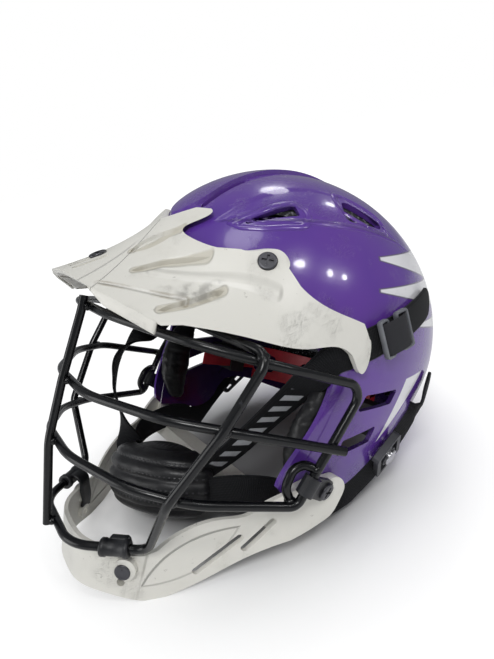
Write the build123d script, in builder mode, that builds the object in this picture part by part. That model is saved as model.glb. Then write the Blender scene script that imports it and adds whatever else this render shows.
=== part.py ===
"""Lacrosse helmet: vented shell, visor, chin guard, welded wire face mask, liner and chin straps.

The pieces are modelled in the wearer's frame, in millimetres: X to the wearer's left, Y to the
back, Z up the head with the mask bars level. Each is then laid back as the helmet rests on a
table, on the chin guard and the nape edge, with the origin under the middle of its box.
"""

import os
from math import atan2, cos, degrees, pi, radians, sin, sqrt, tan

from build123d import *

# Shell: a dome over the widest line and a skirt that tucks in below it
shell_half_width = 114.0
shell_front_reach = 120.0
shell_rear_reach = 127.0
shell_crown_height = 116.0
widest_line = -30.0
skirt_depth = 108.0
side_tuck_radius = 250.0
nape_tuck_radius = 40.0
nape_tuck_angle = 29.0
shell_wall = 3.5
skirt_steps = 8
cheek_spread = 40.0
cheek_depth = 60.0
overrun = 6.0

# Shell edge, as shares of the front reach along Y and of the skirt depth below the widest line
brow_edge_shares = [(-1.35, 0.19), (-0.92, 0.17), (-0.52, 0.08), (-0.32, -0.03)]
jaw_front_shares = [(-0.283, -0.10), (-0.285, -0.19), (-0.335, -0.47), (-0.385, -0.71), (-0.38, -0.80)]
jaw_bottom_shares = [(-0.33, -0.845), (-0.05, -0.868), (0.055, -0.845), (0.13, -0.78), (0.175, -0.69)]
nape_edge_shares = [(0.235, -0.61), (0.36, -0.575), (0.55, -0.60), (0.80, -0.63), (1.2, -0.63)]

# Crown ridge between two long slots
ridge_half_width = 18.0
ridge_rise = 2.6
ridge_front_share = 0.84
ridge_rear_share = 0.35
slot_width = 5.0
slot_front_share = 0.76
slot_rear_share = 0.50

# Vents: azimuth from the front in degrees, height above the frame's zero, length and end widths
front_vent_azimuth = 43.5
front_vent_height = 43.0
front_vent_length = 33.0
front_vent_nose = 1.6
front_vent_tail = 10.0
front_vent_turn = 33.0
rear_vent_azimuth = 86.0
rear_vent_height = 55.5
rear_vent_length = 30.0
rear_vent_nose = 4.5
rear_vent_tail = 20.0
rear_vent_turn = 168.0
back_vent_azimuth = 150.0
back_vent_height = 12.0
back_vent_length = 40.0
back_vent_nose = 2.0
back_vent_tail = 9.0
back_vent_turn = 172.0
ear_vent_corner = 1.6
upper_ear_vent_shares = [(-0.097, -0.306), (-0.068, -0.204), (0.167, -0.158), (0.139, -0.25)]
lower_ear_vent_shares = [(-0.13, -0.588), (-0.122, -0.482), (0.081, -0.385), (0.069, -0.491)]

# Visor: hugs the shell and flares out to a brim
visor_wall = 4.0
visor_gap = 0.3
brim_flare = 43.5
flare_power = 2.2
flare_end_angle = 74.0
flare_fade = 1.15
flare_top = 45.0
flare_top_drop = 29.0
flare_top_angle = 30.0
visor_tip_height = -12.0
visor_corner_drop = 15.5
visor_tip_angle = 7.0
visor_corner_angle = 29.0
visor_section_top = 50.0
visor_section_bottom = -40.0
visor_section_count = 9
visor_section_angles = [-100, -84, -66, -50, -36, -24, -12, 0, 12, 24, 36, 50, 66, 84, 100]
visor_back = 30.0
visor_upper_shares = [(-0.767, 0.657), (-0.846, 0.556), (-0.883, 0.49), (-0.842, 0.449), (-0.783, 0.44)]
visor_screw_lobe_shares = [(-0.725, 0.449), (-0.65, 0.465), (-0.575, 0.477), (-0.554, 0.444),
                           (-0.558, 0.396)]
visor_tail_shares = [(-0.517, 0.315), (-0.433, 0.25), (-0.32, 0.213), (-0.205, 0.187)]
visor_lobe_shares = [(-0.165, 0.11), (-0.15, -0.02), (-0.172, -0.074), (-0.212, -0.056)]
visor_lower_shares = [(-0.258, 0.014), (-0.308, 0.042), (-0.492, 0.022), (-0.79, 0.03), (-1.033, 0.032)]
visor_brim_shares = [(-1.117, 0.014), (-1.308, 0.106), (-1.40, 0.164), (-1.48, 0.30), (-1.48, 0.657)]
crown_notch_half_width = 27.0
crown_notch_height = 31.0
crown_notch_rise = 11.5
brim_groove_width = 3.0
brim_groove_pitch = 7.0
brim_groove_depth = 1.6
brim_groove_count = 4
brim_groove_reach = 20.0
brim_groove_place = -152.0

# Scoops sunk in the visor, in plan: an upper and a lower curve each, as shares of the shell's half width
# along X and of its front reach along Y
scoop_depth = 2.2
horn_scoop = ([(0.17, -1.104), (0.125, -1.02), (0.158, -0.945), (0.25, -0.875)],
              [(0.25, -0.875), (0.232, -0.95), (0.218, -1.03), (0.17, -1.104)])
middle_scoop = ([(0.33, -1.139), (0.326, -1.09), (0.355, -1.0), (0.433, -0.898), (0.515, -0.83)],
                [(0.515, -0.83), (0.462, -0.9), (0.39, -1.005), (0.36, -1.1), (0.33, -1.139)])
brim_scoop = ([(0.632, -1.1), (0.624, -1.045), (0.636, -0.961), (0.652, -0.873), (0.685, -0.818)],
              [(0.685, -0.818), (0.697, -0.871), (0.679, -0.972), (0.654, -1.075), (0.632, -1.1)])

# Chin guard: a band round the chin, tapered to its lower edge
chin_half_width = 112.0
chin_reach = 143.5
chin_drop = 212.0
chin_axis = -20.0
chin_taper_share = 0.09
chin_wall = 3.0
chin_top_level = -98.0
chin_bottom_level = -214.0
chin_tab_start = -38.0
chin_plan_shares = [(0.0, -1.0), (0.196, -0.985), (0.375, -0.905), (0.54, -0.765), (0.69, -0.585),
                    (0.82, -0.42), (0.945, -0.235), (0.985, -0.055), (0.995, 0.09)]
chin_top_shares = [(-1.2, -0.845), (-1.01, -0.84), (-0.864, -0.821), (-0.77, -0.818), (-0.732, -0.809)]
chin_rise_shares = [(-0.697, -0.786), (-0.638, -0.726), (-0.585, -0.692), (-0.516, -0.663),
                    (-0.418, -0.635), (-0.374, -0.599), (-0.297, -0.55), (-0.23, -0.514)]
chin_tab_shares = [(-0.13, -0.497), (-0.072, -0.499), (-0.043, -0.524), (-0.049, -0.566),
                   (-0.071, -0.609), (-0.098, -0.627)]
chin_bottom_shares = [(-0.239, -0.693), (-0.387, -0.763), (-0.523, -0.858), (-0.589, -0.90),
                      (-0.641, -0.929), (-0.69, -0.947), (-0.836, -0.958), (-0.913, -0.968),
                      (-1.2, -1.0)]
chin_slit_width = 4.0
chin_slit_starts = [(-0.55, -0.83), (-0.40, -0.735)]
chin_slit_ends = [(-0.425, -0.705), (-0.325, -0.64)]
chin_hole_radius = 2.6
chin_hole_place = (48.4, 118.0)
chin_hole_height = -193.0
chin_hole_boss_radius = 5.0
chin_hole_length = 5.0

# Face mask: coated rod, bent round its corner points; the level bars pass inside the upright ones
rod_diameter = 5.5
bend_share = 0.46
straight_angle = 0.01
perimeter_points = [(0, -144, -32.4), (33, -144, -32.4), (91, -114, -35.5), (115.5, -80, -38.3),
                    (120.8, -20.5, -44.8), (119, -35.7, -81.3), (115.5, -44.4, -107.1),
                    (114.5, -47.5, -117.5), (96, -104, -120.3), (70.8, -131.5, -120),
                    (25, -151.5, -119.3), (0, -151.5, -119.3)]
perimeter_bends = [60.0, 60.0, 60.0, 9.0, 60.0, 60.0, 7.0, 60.0, 60.0, 60.0]
nose_points = [(0, -149.2, -80), (30.5, -149.2, -80), (85.8, -123.6, -77), (110, -94.5, -75.5),
               (125.7, -31, -81)]
nose_bends = [60.0, 60.0, 40.0]
centre_points = [(0, -149.6, -26), (0, -149.6, -34), (0, -154.6, -80), (0, -156.9, -119.3),
                 (0, -149.65, -175)]
centre_bends = [60.0, 60.0, 60.0]
frame_points = [(0, -144.3, -173), (30, -144.3, -173), (63, -108, -164), (92.6, -117.5, -120.5),
                (110.4, -103.9, -75.5), (116.6, -88, -32.5), (91, -94.5, -30.5), (60, -123, -22),
                (25, -139, -9.5), (0, -139, -9.5)]
frame_bends = [40.0, 12.0, 15.0, 25.0, 9.0, 25.0, 60.0, 60.0]
loop_points = [(110, -50, -115), (110, -55, -108), (110, -52, -97), (112, -46, -93.5), (116, -42, -94.5)]
loop_bends = [8.0, 8.0, 8.0]

# Clips that hold the mask: each goes round a rod and has a flat ear under a screw
clip_wall = 2.4
clip_length = 11.5
clip_bore_clearance = 0.2
ear_thickness = 3.0
boss_radius = 7.0
boss_root = 8.0
side_clip_place = (115.9, -43.3, -104.5)
side_clip_along = (-3.5, -8.7, -25.8)
side_screw_place = (108.6, -23.0, -112.0)
chin_clip_place = (49.8, -122.5, -167.6)
chin_clip_along = (33.0, 36.3, 9.0)
chin_screw_place = (53.2, -116.4, -182.0)
front_clip_width = 14.0
front_clip_depth = 17.0
front_clip_height = 24.0
front_clip_place = (0, -139.0, -9.5)
front_clip_lean = 3.0

# Screws, nuts and press studs
screw_head_radius = 5.6
screw_head_height = 2.0
screw_head_round = 0.9
screw_shank_radius = 2.4
screw_hole_clearance = 0.05
screw_head_clearance = 0.3
screw_cross_width = 1.5
screw_cross_length = 7.0
screw_cross_depth = 1.0
screw_seat = 0.8
clip_screw_length = 10.0
front_screw_length = 6.0
nut_radius = 5.0
nut_height = 2.2
nut_seat = 0.4
nut_clearance = 0.8
visor_screw_azimuth = 47.0
visor_screw_height = 14.5
front_screw_height = 0.5
stud_radius = 3.4
stud_head_radius = 5.6
stud_head_height = 2.0
stud_head_round = 0.9
stud_clearance = 0.05

# Liner: moulded foam pads inside the shell, with cloth comfort pads on them
liner_gap = 0.4
liner_thickness = 16.0
liner_split_angle = 1.6
liner_split = 5.0
liner_front_angle = 38.0
liner_side_angle = 128.0
liner_crown_level = 42.0
liner_front_bottom = -1.0
liner_side_bottom = -34.0
liner_rear_bottom = -62.0
liner_edge_margin = 6.0
comfort_thickness = 8.0
brow_pad_angle = 33.0
brow_pad_bottom = 4.0
brow_pad_top = 34.0
side_pad_start = 48.0
side_pad_end = 118.0
side_pad_bottom = -20.0
side_pad_top = 34.0
nape_pad_angle = 140.0
nape_pad_bottom = -54.0
nape_pad_top = 6.0
crown_pad_bottom = 58.0
jaw_pad_shares = [(-0.23, -0.17), (-0.13, -0.16), (-0.14, -0.42), (-0.09, -0.78), (-0.29, -0.80),
                  (-0.33, -0.62), (-0.25, -0.38)]
jaw_pad_corner = 4.0

# Retention cradle: a sprung plastic band round the back of the head, its arms in two guide brackets
cradle_half_width = 74.0
cradle_bend_start = 36.0
cradle_bend_reach = 46.0
cradle_front = -14.0
cradle_level = -72.0
cradle_height = 30.0
cradle_arm_height = 12.0
cradle_arm_end = 42.0
cradle_wall = 2.4
cradle_window_height = 16.0
cradle_window_length = 20.0
cradle_window_corner = 4.0
cradle_window_angles = [127.0, 158.0, 202.0, 233.0]
cradle_clearance = 0.3
bracket_front = 14.0
bracket_length = 14.0
bracket_height = 20.0
bracket_wall = 2.6

# Chin cup, hanging askew between its straps
cup_centre = (-3.0, -71.0, -150.0)
cup_turn = 17.0
cup_roll = -12.0
cup_half_width = 46.0
cup_reach = 27.0
cup_half_height = 25.0
cup_wall = 3.0
cup_pad_thickness = 6.0
cup_opening = 6.0

# Webbing straps and the ladder buckles that turn on press studs
strap_width = 20.0
strap_thickness = 1.8
strap_tail_round = 7.0
strap_hole_radius = 4.6
upper_strap_start = (-46.0, -37.0)
upper_strap_end = (45.0, 11.3)
upper_buckle_azimuth = 89.5
upper_buckle_height = -13.2
upper_buckle_turn = 28.0
lower_strap_start = (3.0, -130.0)
lower_strap_end = (52.0, -69.0)
lower_buckle_azimuth = 108.0
lower_buckle_height = -93.0
lower_buckle_turn = 51.0
strap_relief = 2.0
near_upper_path = [(30.0, -61.0, -135.0), (47.0, -51.0, -112.0), (66.0, -43.0, -84.0),
                   (90.0, -42.0, -57.0), (103.5, -43.0, -44.5), (107.6, -43.0, -36.5)]
far_upper_path = [(-36.0, -80.0, -150.0), (-54.0, -79.0, -128.0), (-74.0, -74.0, -100.0),
                  (-92.0, -62.0, -72.0), (-103.5, -46.0, -46.5), (-107.6, -43.0, -36.5)]
upper_across = [(0.1, -0.9, 0.3), (0.0, -0.93, 0.28), (0.0, -0.95, 0.3), (0.0, -0.9, 0.45),
                (0.0, -0.7, 0.7), (0.0, -0.47, 0.88)]
near_lower_path = [(34.0, -60.0, -147.0), (68.0, -51.0, -129.0), (78.0, -34.0, -127.5),
                   (85.0, -18.0, -130.5), (89.6, -5.0, -135.0), (92.8, 3.0, -132.0)]
far_lower_path = [(-38.0, -82.0, -160.0), (-66.0, -66.0, -140.0), (-77.5, -38.0, -129.0),
                  (-84.5, -18.0, -130.0), (-89.6, -5.0, -135.0), (-92.8, 3.0, -132.0)]
lower_across = [(0.0, -0.15, 0.98), (0.0, -0.15, 0.98), (0.0, -0.2, 0.97), (0.0, -0.35, 0.93),
                (0.0, -0.6, 0.8), (0.0, -0.78, 0.62)]
buckle_length = 26.0
buckle_end_bar = 4.0
buckle_centre_radius = 7.0
buckle_centre_bar = 6.0
buckle_rail = 2.6
buckle_side_clearance = 1.0
buckle_lift = 3.4
buckle_bar_height = 3.2
buckle_rail_drop = 1.6
buckle_corner = 3.0

# Where the helmet rests: the two lines, in side view, on which the table plane cuts it flat
rest_front = (-98.0, -199.9)
rest_rear = (95.0, -97.5)


def side_tuck(depth):
    """How far the side and the front of the skirt draw in at a depth below the widest line."""
    return side_tuck_radius - sqrt(side_tuck_radius**2 - depth**2)


def nape_tuck(depth):
    """How far the back of the skirt draws in: an arc, then a straight slope."""
    angle = radians(nape_tuck_angle)
    arc_depth = nape_tuck_radius * sin(angle)
    if depth < arc_depth:
        return nape_tuck_radius - sqrt(nape_tuck_radius**2 - depth**2)
    return nape_tuck_radius * (1 - cos(angle)) + (depth - arc_depth) * tan(angle)


def half_dome(grow, reach, arc):
    """Half of the dome, revolved through arc and stretched to its reach."""
    half_width = shell_half_width + grow
    height = shell_crown_height + grow
    with BuildPart() as dome:
        with BuildSketch(Plane.XZ):
            with BuildLine():
                EllipticalCenterArc((0, widest_line), half_width, height, start_angle=0, arc_size=90)
                Polyline((0, widest_line + height), (0, widest_line), (half_width, widest_line))
            make_face()
        revolve(axis=Axis.Z, revolution_arc=arc)
        scale(by=(1, (reach + grow) / half_width, 1))
    return dome.part


def head_form(grow, depth=skirt_depth):
    """The shell's outer form, closed, grown outwards by grow."""
    with BuildPart() as skirt:
        for step in range(skirt_steps):
            drop = depth * (step / (skirt_steps - 1)) ** 1.4
            level = widest_line - drop
            half_width = shell_reach(90, level, grow)
            front = shell_reach(0, level, grow)
            rear = shell_reach(180, level, grow)
            with BuildSketch(Plane.XY.offset(level)):
                with BuildLine():
                    EllipticalCenterArc((0, 0), half_width, front, start_angle=180, arc_size=180)
                    EllipticalCenterArc((0, 0), half_width, rear, start_angle=0, arc_size=180)
                make_face()
        loft()
    with BuildPart() as form:
        add(half_dome(grow, shell_front_reach, -180))
        add(half_dome(grow, shell_rear_reach, 180))
        add(skirt.part)
    return form.part


def cheek_reach(depth):
    """How far the cheeks' plan curve runs on forwards, so that the cheeks are nearly flat."""
    return cheek_spread * (1 - cos(pi * min(1, depth / cheek_depth))) / 2


def shell_reach(azimuth, height, grow=0.0):
    """Distance of the shell's surface from the head's axis, at an azimuth from the front."""
    along = cos(radians(azimuth))
    drop = max(0, widest_line - height)
    rise = max(0, height - widest_line)
    level = sqrt(max(0, 1 - (rise / (shell_crown_height + grow)) ** 2))
    half_width = (shell_half_width + grow) * level - side_tuck(drop)
    if along > 0:
        reach = (shell_front_reach + grow) * level - side_tuck(drop) + cheek_reach(drop)
    else:
        reach = (shell_rear_reach + grow) * level - nape_tuck(drop)
    return 1 / sqrt((sin(radians(azimuth)) / half_width) ** 2 + (along / reach) ** 2)


def visor_reach(azimuth, height, inset=0.0):
    """Distance of the visor's outer surface from the head's axis; the brim flares out as it drops."""
    turn = abs(azimuth)
    top = flare_top - flare_top_drop * min(1, turn / flare_top_angle)
    corner = min(1, max(0, turn - visor_tip_angle) / (visor_corner_angle - visor_tip_angle))
    bottom = visor_tip_height - visor_corner_drop * corner
    share = max(0, (top - height - inset / 2) / (top - bottom))
    fade = max(0, cos(radians(turn * 90 / flare_end_angle))) ** flare_fade
    lift = visor_gap + visor_wall - inset
    return shell_reach(azimuth, height) + lift + brim_flare * fade * share**flare_power


def chin_reach_at(azimuth, height, inset=0.0):
    """Distance of the chin guard's outer surface from the head's axis."""
    outline = chin_plan(height, inset)
    for first, second in zip(outline, outline[1:]):
        turn = radians(azimuth)
        along_first = first[0] * cos(turn) + first[1] * sin(turn)
        along_second = second[0] * cos(turn) + second[1] * sin(turn)
        if along_first <= 0 <= along_second:
            share = along_first / (along_first - along_second)
            x = first[0] + share * (second[0] - first[0])
            y = first[1] + share * (second[1] - first[1])
            return sqrt(x**2 + y**2)
    raise ValueError("no chin guard at this azimuth")


def surface_plane(reach, azimuth, height, turn=0.0):
    """Plane on a surface: Z outwards, X level and to the back on the left side, turned about Z."""
    def point(angle, level):
        distance = reach(angle, level)
        return Vector(distance * sin(radians(angle)), -distance * cos(radians(angle)), level)

    across = point(azimuth + 1, height) - point(azimuth - 1, height)
    up = point(azimuth, height + shell_wall) - point(azimuth, height - shell_wall)
    normal = across.cross(up).normalized()
    level = across.normalized()
    turned = level * cos(radians(turn)) + normal.cross(level) * sin(radians(turn))
    return Plane(origin=point(azimuth, height), x_dir=turned, z_dir=normal)


def chin_plan(height, inset=0.0):
    """Near half of the chin guard's plan at a height, from the middle to the back."""
    taper = 1 - chin_taper_share * (chin_top_level - height) / (chin_top_level - chin_bottom_level)
    half_width = (chin_half_width - inset) * taper
    reach = chin_reach - inset
    return [(x * half_width, chin_axis + (y * reach - chin_axis) * taper) for x, y in chin_plan_shares]


def side_points(shares, reach=shell_front_reach, base=widest_line, height=skirt_depth):
    """Side-view points (Y, Z): shares of the reach, and of the height above the base."""
    return [(y * reach, base + z * height) for y, z in shares]


def side_prism(runs, closing, half_width=2 * shell_half_width):
    """Side-view outline, a curve through each run and then straight closing lines, made solid."""
    with BuildPart() as prism:
        with BuildSketch(Plane.YZ):
            with BuildLine():
                last = (closing or runs[-1])[-1]
                for run in runs:
                    if len(run) == 1:
                        Line(last, run[0])
                    else:
                        Line(last, run[0])
                        Spline(*run)
                    last = run[-1]
                for point in closing:
                    Line(last, point)
                    last = point
            make_face()
        extrude(amount=half_width, both=True)
    return prism.part


def both_sides(piece):
    """The piece and its mirror image across the helmet."""
    return [piece, mirror(piece, about=Plane.YZ)]


def vent_prism(azimuth, height, length, nose, tail, turn, grow=0.0):
    """Tapered vent outline, extruded through the shell's wall."""
    corner = min(nose, tail / 2)
    along = length / 2 - corner
    across = tail / 2 - corner
    with BuildPart() as prism:
        with BuildSketch(surface_plane(shell_reach, azimuth, height, turn)):
            with Locations((nose - length / 2, 0)):
                Circle(nose + grow)
            with Locations((along, across), (along, -across)):
                Circle(corner + grow)
            make_hull()
        extrude(amount=3 * shell_wall, both=True)
    return prism.part


def visor_form(inset, growth=0.0):
    """The visor's outer form, closed at the back, drawn in by inset."""
    with BuildPart() as form:
        for step in range(visor_section_count):
            share = step / (visor_section_count - 1)
            height = visor_section_top + (visor_section_bottom - visor_section_top) * share
            points = []
            for azimuth in visor_section_angles:
                reach = visor_reach(azimuth, height, inset)
                points.append((reach * sin(radians(azimuth)), -reach * cos(radians(azimuth))))
            back = visor_back + growth
            with BuildSketch(Plane.XY.offset(height)):
                with BuildLine():
                    front = Spline(*points)
                    Polyline(front @ 1, (points[-1][0], back), (points[0][0], back), front @ 0)
                make_face()
        loft()
    return form.part


def chin_form(inset, back):
    """The chin guard's outer form, closed at the back, drawn in by inset."""
    with BuildPart() as form:
        for height in (chin_top_level, (chin_top_level + chin_bottom_level) / 2, chin_bottom_level):
            near = chin_plan(height, inset)
            points = [(-x, y) for x, y in reversed(near[1:])] + near
            with BuildSketch(Plane.XY.offset(height)):
                with BuildLine():
                    front = Spline(*points)
                    Polyline(front @ 1, (points[-1][0], back), (points[0][0], back), front @ 0)
                make_face()
        loft()
    return form.part


def bent_rod(points, bends):
    """Round rod along a path, with its own largest bend radius at each inner corner."""
    places = [Vector(*point) for point in points]
    radii = []
    for before, here, after, bend in zip(places, places[1:], places[2:], bends):
        half_turn = radians((here - before).get_angle(after - here)) / 2
        room = bend_share * min((here - before).length, (after - here).length)
        radii.append(min(bend, room / tan(max(half_turn, straight_angle))))
    with BuildPart() as bar:
        with BuildLine() as path:
            FilletPolyline(*points, radius=radii)
        with BuildSketch(Plane(origin=path.line @ 0, z_dir=path.line % 0)):
            Circle(rod_diameter / 2)
        sweep()
    return bar.part


def whole_rod(points, bends, welded=()):
    """A rod and its mirror image as one, notched where it is welded on to other rods."""
    with BuildPart() as bar:
        for half in both_sides(bent_rod(points, bends)):
            add(half)
        for other in welded:
            add(other, mode=Mode.SUBTRACT)
    return bar.part


standing = (Align.CENTER, Align.CENTER, Align.MIN)
hanging = (Align.CENTER, Align.CENTER, Align.MAX)


def screw(place, length):
    """Round-headed screw with a cross recess, its head standing on the place."""
    with BuildPart(place) as piece:
        Cylinder(screw_head_radius, screw_head_height, align=standing)
        top = piece.faces().sort_by(Axis(place.origin, place.z_dir))[-1]
        fillet(top.edges(), screw_head_round)
        with BuildSketch(place.offset(screw_head_height)):
            Rectangle(screw_cross_length, screw_cross_width)
            Rectangle(screw_cross_width, screw_cross_length)
        extrude(amount=-screw_cross_depth, mode=Mode.SUBTRACT)
        Cylinder(screw_shank_radius, length, align=hanging)
    return piece.part


def screw_room(place, length, head_radius=screw_head_radius + screw_head_clearance):
    """Room for a screw: a hole below the place and a flat seat above it."""
    with BuildPart(place) as room:
        Cylinder(head_radius, boss_root, align=standing)
        Cylinder(screw_shank_radius + screw_hole_clearance, length + screw_seat, align=hanging)
    return room.part


def clip_plane(rod_place, along, screw_place):
    """Plane in the middle of a clip's ear: X along the rod, Y towards the screw, Z outwards."""
    across = Vector(*screw_place) - Vector(*rod_place)
    normal = Vector(*along).cross(across)
    if normal.X < 0:
        normal = -normal
    return Plane(origin=rod_place, x_dir=along, z_dir=normal)


def rod_clip(place, screw_place, neighbours):
    """Sleeve round a rod with a flat ear round the screw, clear of what it clasps."""
    here = place.to_local_coords(Vector(*screw_place))
    sleeve = rod_diameter / 2 + clip_wall
    with BuildPart() as clip:
        with BuildSketch(place.offset(-ear_thickness / 2)):
            with Locations((here.X, here.Y)):
                Circle(boss_radius)
            Rectangle(clip_length, 2 * sleeve)
            make_hull()
        extrude(amount=ear_thickness)
        with BuildSketch(Plane(origin=place.origin, x_dir=place.y_dir, z_dir=place.x_dir)):
            Circle(sleeve)
        extrude(amount=clip_length / 2, both=True)
        with BuildSketch(Plane(origin=place.origin, x_dir=place.y_dir, z_dir=place.x_dir)):
            Circle(rod_diameter / 2 + clip_bore_clearance)
        extrude(amount=clip_length, both=True, mode=Mode.SUBTRACT)
        with BuildSketch(place.offset(-ear_thickness)):
            with Locations((here.X, here.Y)):
                Circle(screw_shank_radius + screw_hole_clearance)
        extrude(amount=2 * ear_thickness, mode=Mode.SUBTRACT)
        for neighbour in neighbours:
            add(neighbour, mode=Mode.SUBTRACT)
    return clip.part


def ear_plane(place, screw_place):
    """Plane on the outer face of a clip's ear, over the screw's axis."""
    here = place.to_local_coords(Vector(*screw_place))
    origin = place.from_local_coords(Vector(here.X, here.Y, ear_thickness / 2))
    return Plane(origin=origin, x_dir=place.x_dir, z_dir=place.z_dir)


def wedge(start, end, bottom, top):
    """Part of a turn about the head's axis, between two azimuths and two heights."""
    far = 2 * shell_rear_reach
    middle = (start + end) / 2
    with BuildPart() as piece:
        with BuildSketch(Plane.XY.offset(bottom)):
            with BuildLine():
                Polyline((0, 0), *[(far * sin(radians(angle)), -far * cos(radians(angle)))
                                   for angle in (start, middle, end)], close=True)
            make_face()
        extrude(amount=top - bottom)
    return piece.part


def webbing(path, across):
    """Flat webbing through stations, each a place and the direction of its width."""
    places = [Vector(*point) for point in path]
    earlier = [places[0]] + places
    later = places[1:] + [places[-1]]
    with BuildPart() as band:
        for before, here, after, side in zip(earlier, places, later, across):
            width = Vector(*side)
            travel = after - before
            normal = travel.cross(width)
            with BuildSketch(Plane(origin=here, x_dir=width, z_dir=width.cross(normal))):
                Rectangle(strap_width, strap_thickness)
        loft(ruled=True)
    return band.part


def strap_prism(start, end, grow=0.0):
    """Side-view outline of a strap that lies on the shell's near side, made solid."""
    middle = ((start[0] + end[0]) / 2, (start[1] + end[1]) / 2)
    length = sqrt((end[0] - start[0]) ** 2 + (end[1] - start[1]) ** 2)
    angle = degrees(atan2(end[1] - start[1], end[0] - start[0]))
    with BuildPart() as prism:
        with BuildSketch(Plane.YZ):
            with Locations(middle):
                RectangleRounded(
                    length + strap_width, strap_width + 2 * grow, strap_tail_round, rotation=angle)
        extrude(amount=2 * shell_half_width)
    return prism.part


def buckle(place):
    """Ladder buckle over a strap: two end bars, side rails and a middle bar with the stud's eye."""
    inner_width = strap_width + 2 * buckle_side_clearance
    outer_width = inner_width + 2 * buckle_rail
    window = (buckle_length - 2 * buckle_end_bar - buckle_centre_bar) / 2
    with BuildPart() as frame:
        with BuildSketch(place.offset(buckle_lift - buckle_rail_drop)):
            RectangleRounded(buckle_length, outer_width, buckle_corner)
        extrude(amount=buckle_bar_height + buckle_rail_drop)
        with BuildSketch(place.offset(buckle_lift - buckle_rail_drop)):
            Rectangle(2 * buckle_length, inner_width)
        extrude(amount=buckle_rail_drop, mode=Mode.SUBTRACT)
        with BuildSketch(place.offset(buckle_lift)):
            for side in (-1, 1):
                with Locations((side * (buckle_centre_bar + window) / 2, 0)):
                    Rectangle(window, inner_width)
        extrude(amount=buckle_bar_height, mode=Mode.SUBTRACT)
        with BuildSketch(place.offset(buckle_lift)):
            Circle(buckle_centre_radius)
        extrude(amount=buckle_bar_height)
        with BuildSketch(place.offset(buckle_lift)):
            Circle(stud_radius + stud_clearance)
        extrude(amount=buckle_bar_height, mode=Mode.SUBTRACT)
    return frame.part


def stud(place):
    """Press stud: a post on the shell with a domed head over the buckle."""
    height = buckle_lift + buckle_bar_height + stud_clearance
    with BuildPart(place) as piece:
        Cylinder(stud_radius, height, align=standing)
        with Locations((0, 0, height)):
            Cylinder(stud_head_radius, stud_head_height, align=standing)
        top = piece.faces().sort_by(Axis(place.origin, place.z_dir))[-1]
        fillet(top.edges(), stud_head_round)
        Cylinder(stud_radius, shell_wall / 2, align=hanging)
    return piece.part


# Forms that several pieces share
outer_form = head_form(0)
wall_form = head_form(-shell_wall, skirt_depth + overrun)
clear_form = head_form(visor_gap)
ridge_form = head_form(ridge_rise)
strap_form = head_form(visor_gap + strap_thickness)
liner_outer_form = head_form(-shell_wall - liner_gap)
liner_inner_form = head_form(-shell_wall - liner_gap - liner_thickness, skirt_depth + overrun)
comfort_form = head_form(-shell_wall - liner_gap - liner_thickness - comfort_thickness)
far_below = widest_line - 2 * skirt_depth
far_front = -2 * shell_front_reach
face_cutter = side_prism(
    [side_points(brow_edge_shares), side_points(jaw_front_shares), side_points(jaw_bottom_shares),
     side_points(nape_edge_shares)],
    [(nape_edge_shares[-1][0] * shell_front_reach, far_below), (far_front, far_below),
     (far_front, side_points(brow_edge_shares)[0][1])])
tilt = atan2(rest_rear[1] - rest_front[1], rest_rear[0] - rest_front[0])

with BuildPart() as table:
    with BuildSketch(Plane(origin=(0, *rest_front), x_dir=(1, 0, 0), z_dir=(0, sin(tilt), -cos(tilt)))):
        Rectangle(4 * shell_half_width, 8 * shell_rear_reach)
    extrude(amount=shell_rear_reach)

# Places of the screws, the clips and the studs
visor_screw_plane = surface_plane(visor_reach, visor_screw_azimuth, visor_screw_height).offset(-screw_seat)
front_screw_plane = surface_plane(visor_reach, 0, front_screw_height).offset(-screw_seat)
side_clip_plane = clip_plane(side_clip_place, side_clip_along, side_screw_place)
chin_clip_plane = clip_plane(chin_clip_place, chin_clip_along, chin_screw_place)
side_ear_plane = ear_plane(side_clip_plane, side_screw_place)
chin_ear_plane = ear_plane(chin_clip_plane, chin_screw_place)
upper_stud_plane = surface_plane(shell_reach, upper_buckle_azimuth, upper_buckle_height, upper_buckle_turn)
lower_stud_plane = surface_plane(shell_reach, lower_buckle_azimuth, lower_buckle_height, lower_buckle_turn)
nut_depth = 2 * shell_wall + visor_wall + visor_gap - shell_wall - screw_seat - nut_seat
visor_screw_length = nut_depth + nut_height

# Shell
front_vent = (front_vent_azimuth, front_vent_height, front_vent_length, front_vent_nose, front_vent_tail,
              front_vent_turn)
rear_vent = (rear_vent_azimuth, rear_vent_height, rear_vent_length, rear_vent_nose, rear_vent_tail,
             rear_vent_turn)
back_vent = (back_vent_azimuth, back_vent_height, back_vent_length, back_vent_nose, back_vent_tail,
             back_vent_turn)

with BuildPart() as ridge_prism:
    with BuildSketch(Plane.XY.offset(widest_line)):
        with Locations((0, ridge_half_width - ridge_front_share * shell_front_reach)):
            Circle(ridge_half_width)
        with Locations((0, ridge_rear_share * shell_front_reach)):
            Circle(ridge_half_width / 2)
        make_hull()
    extrude(amount=2 * shell_crown_height)

with BuildPart() as ridge:
    add(ridge_form)
    add(ridge_prism.part, mode=Mode.INTERSECT)

with BuildPart() as nut_room:
    with BuildSketch(visor_screw_plane.offset(-nut_depth)):
        Circle(nut_radius + nut_clearance)
    extrude(amount=-2 * nut_height)

stud_holes = []
for place in (upper_stud_plane, lower_stud_plane):
    with BuildPart(place) as stud_hole:
        Cylinder(stud_radius, shell_wall / 2, align=hanging)
    stud_holes += both_sides(stud_hole.part)

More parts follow.
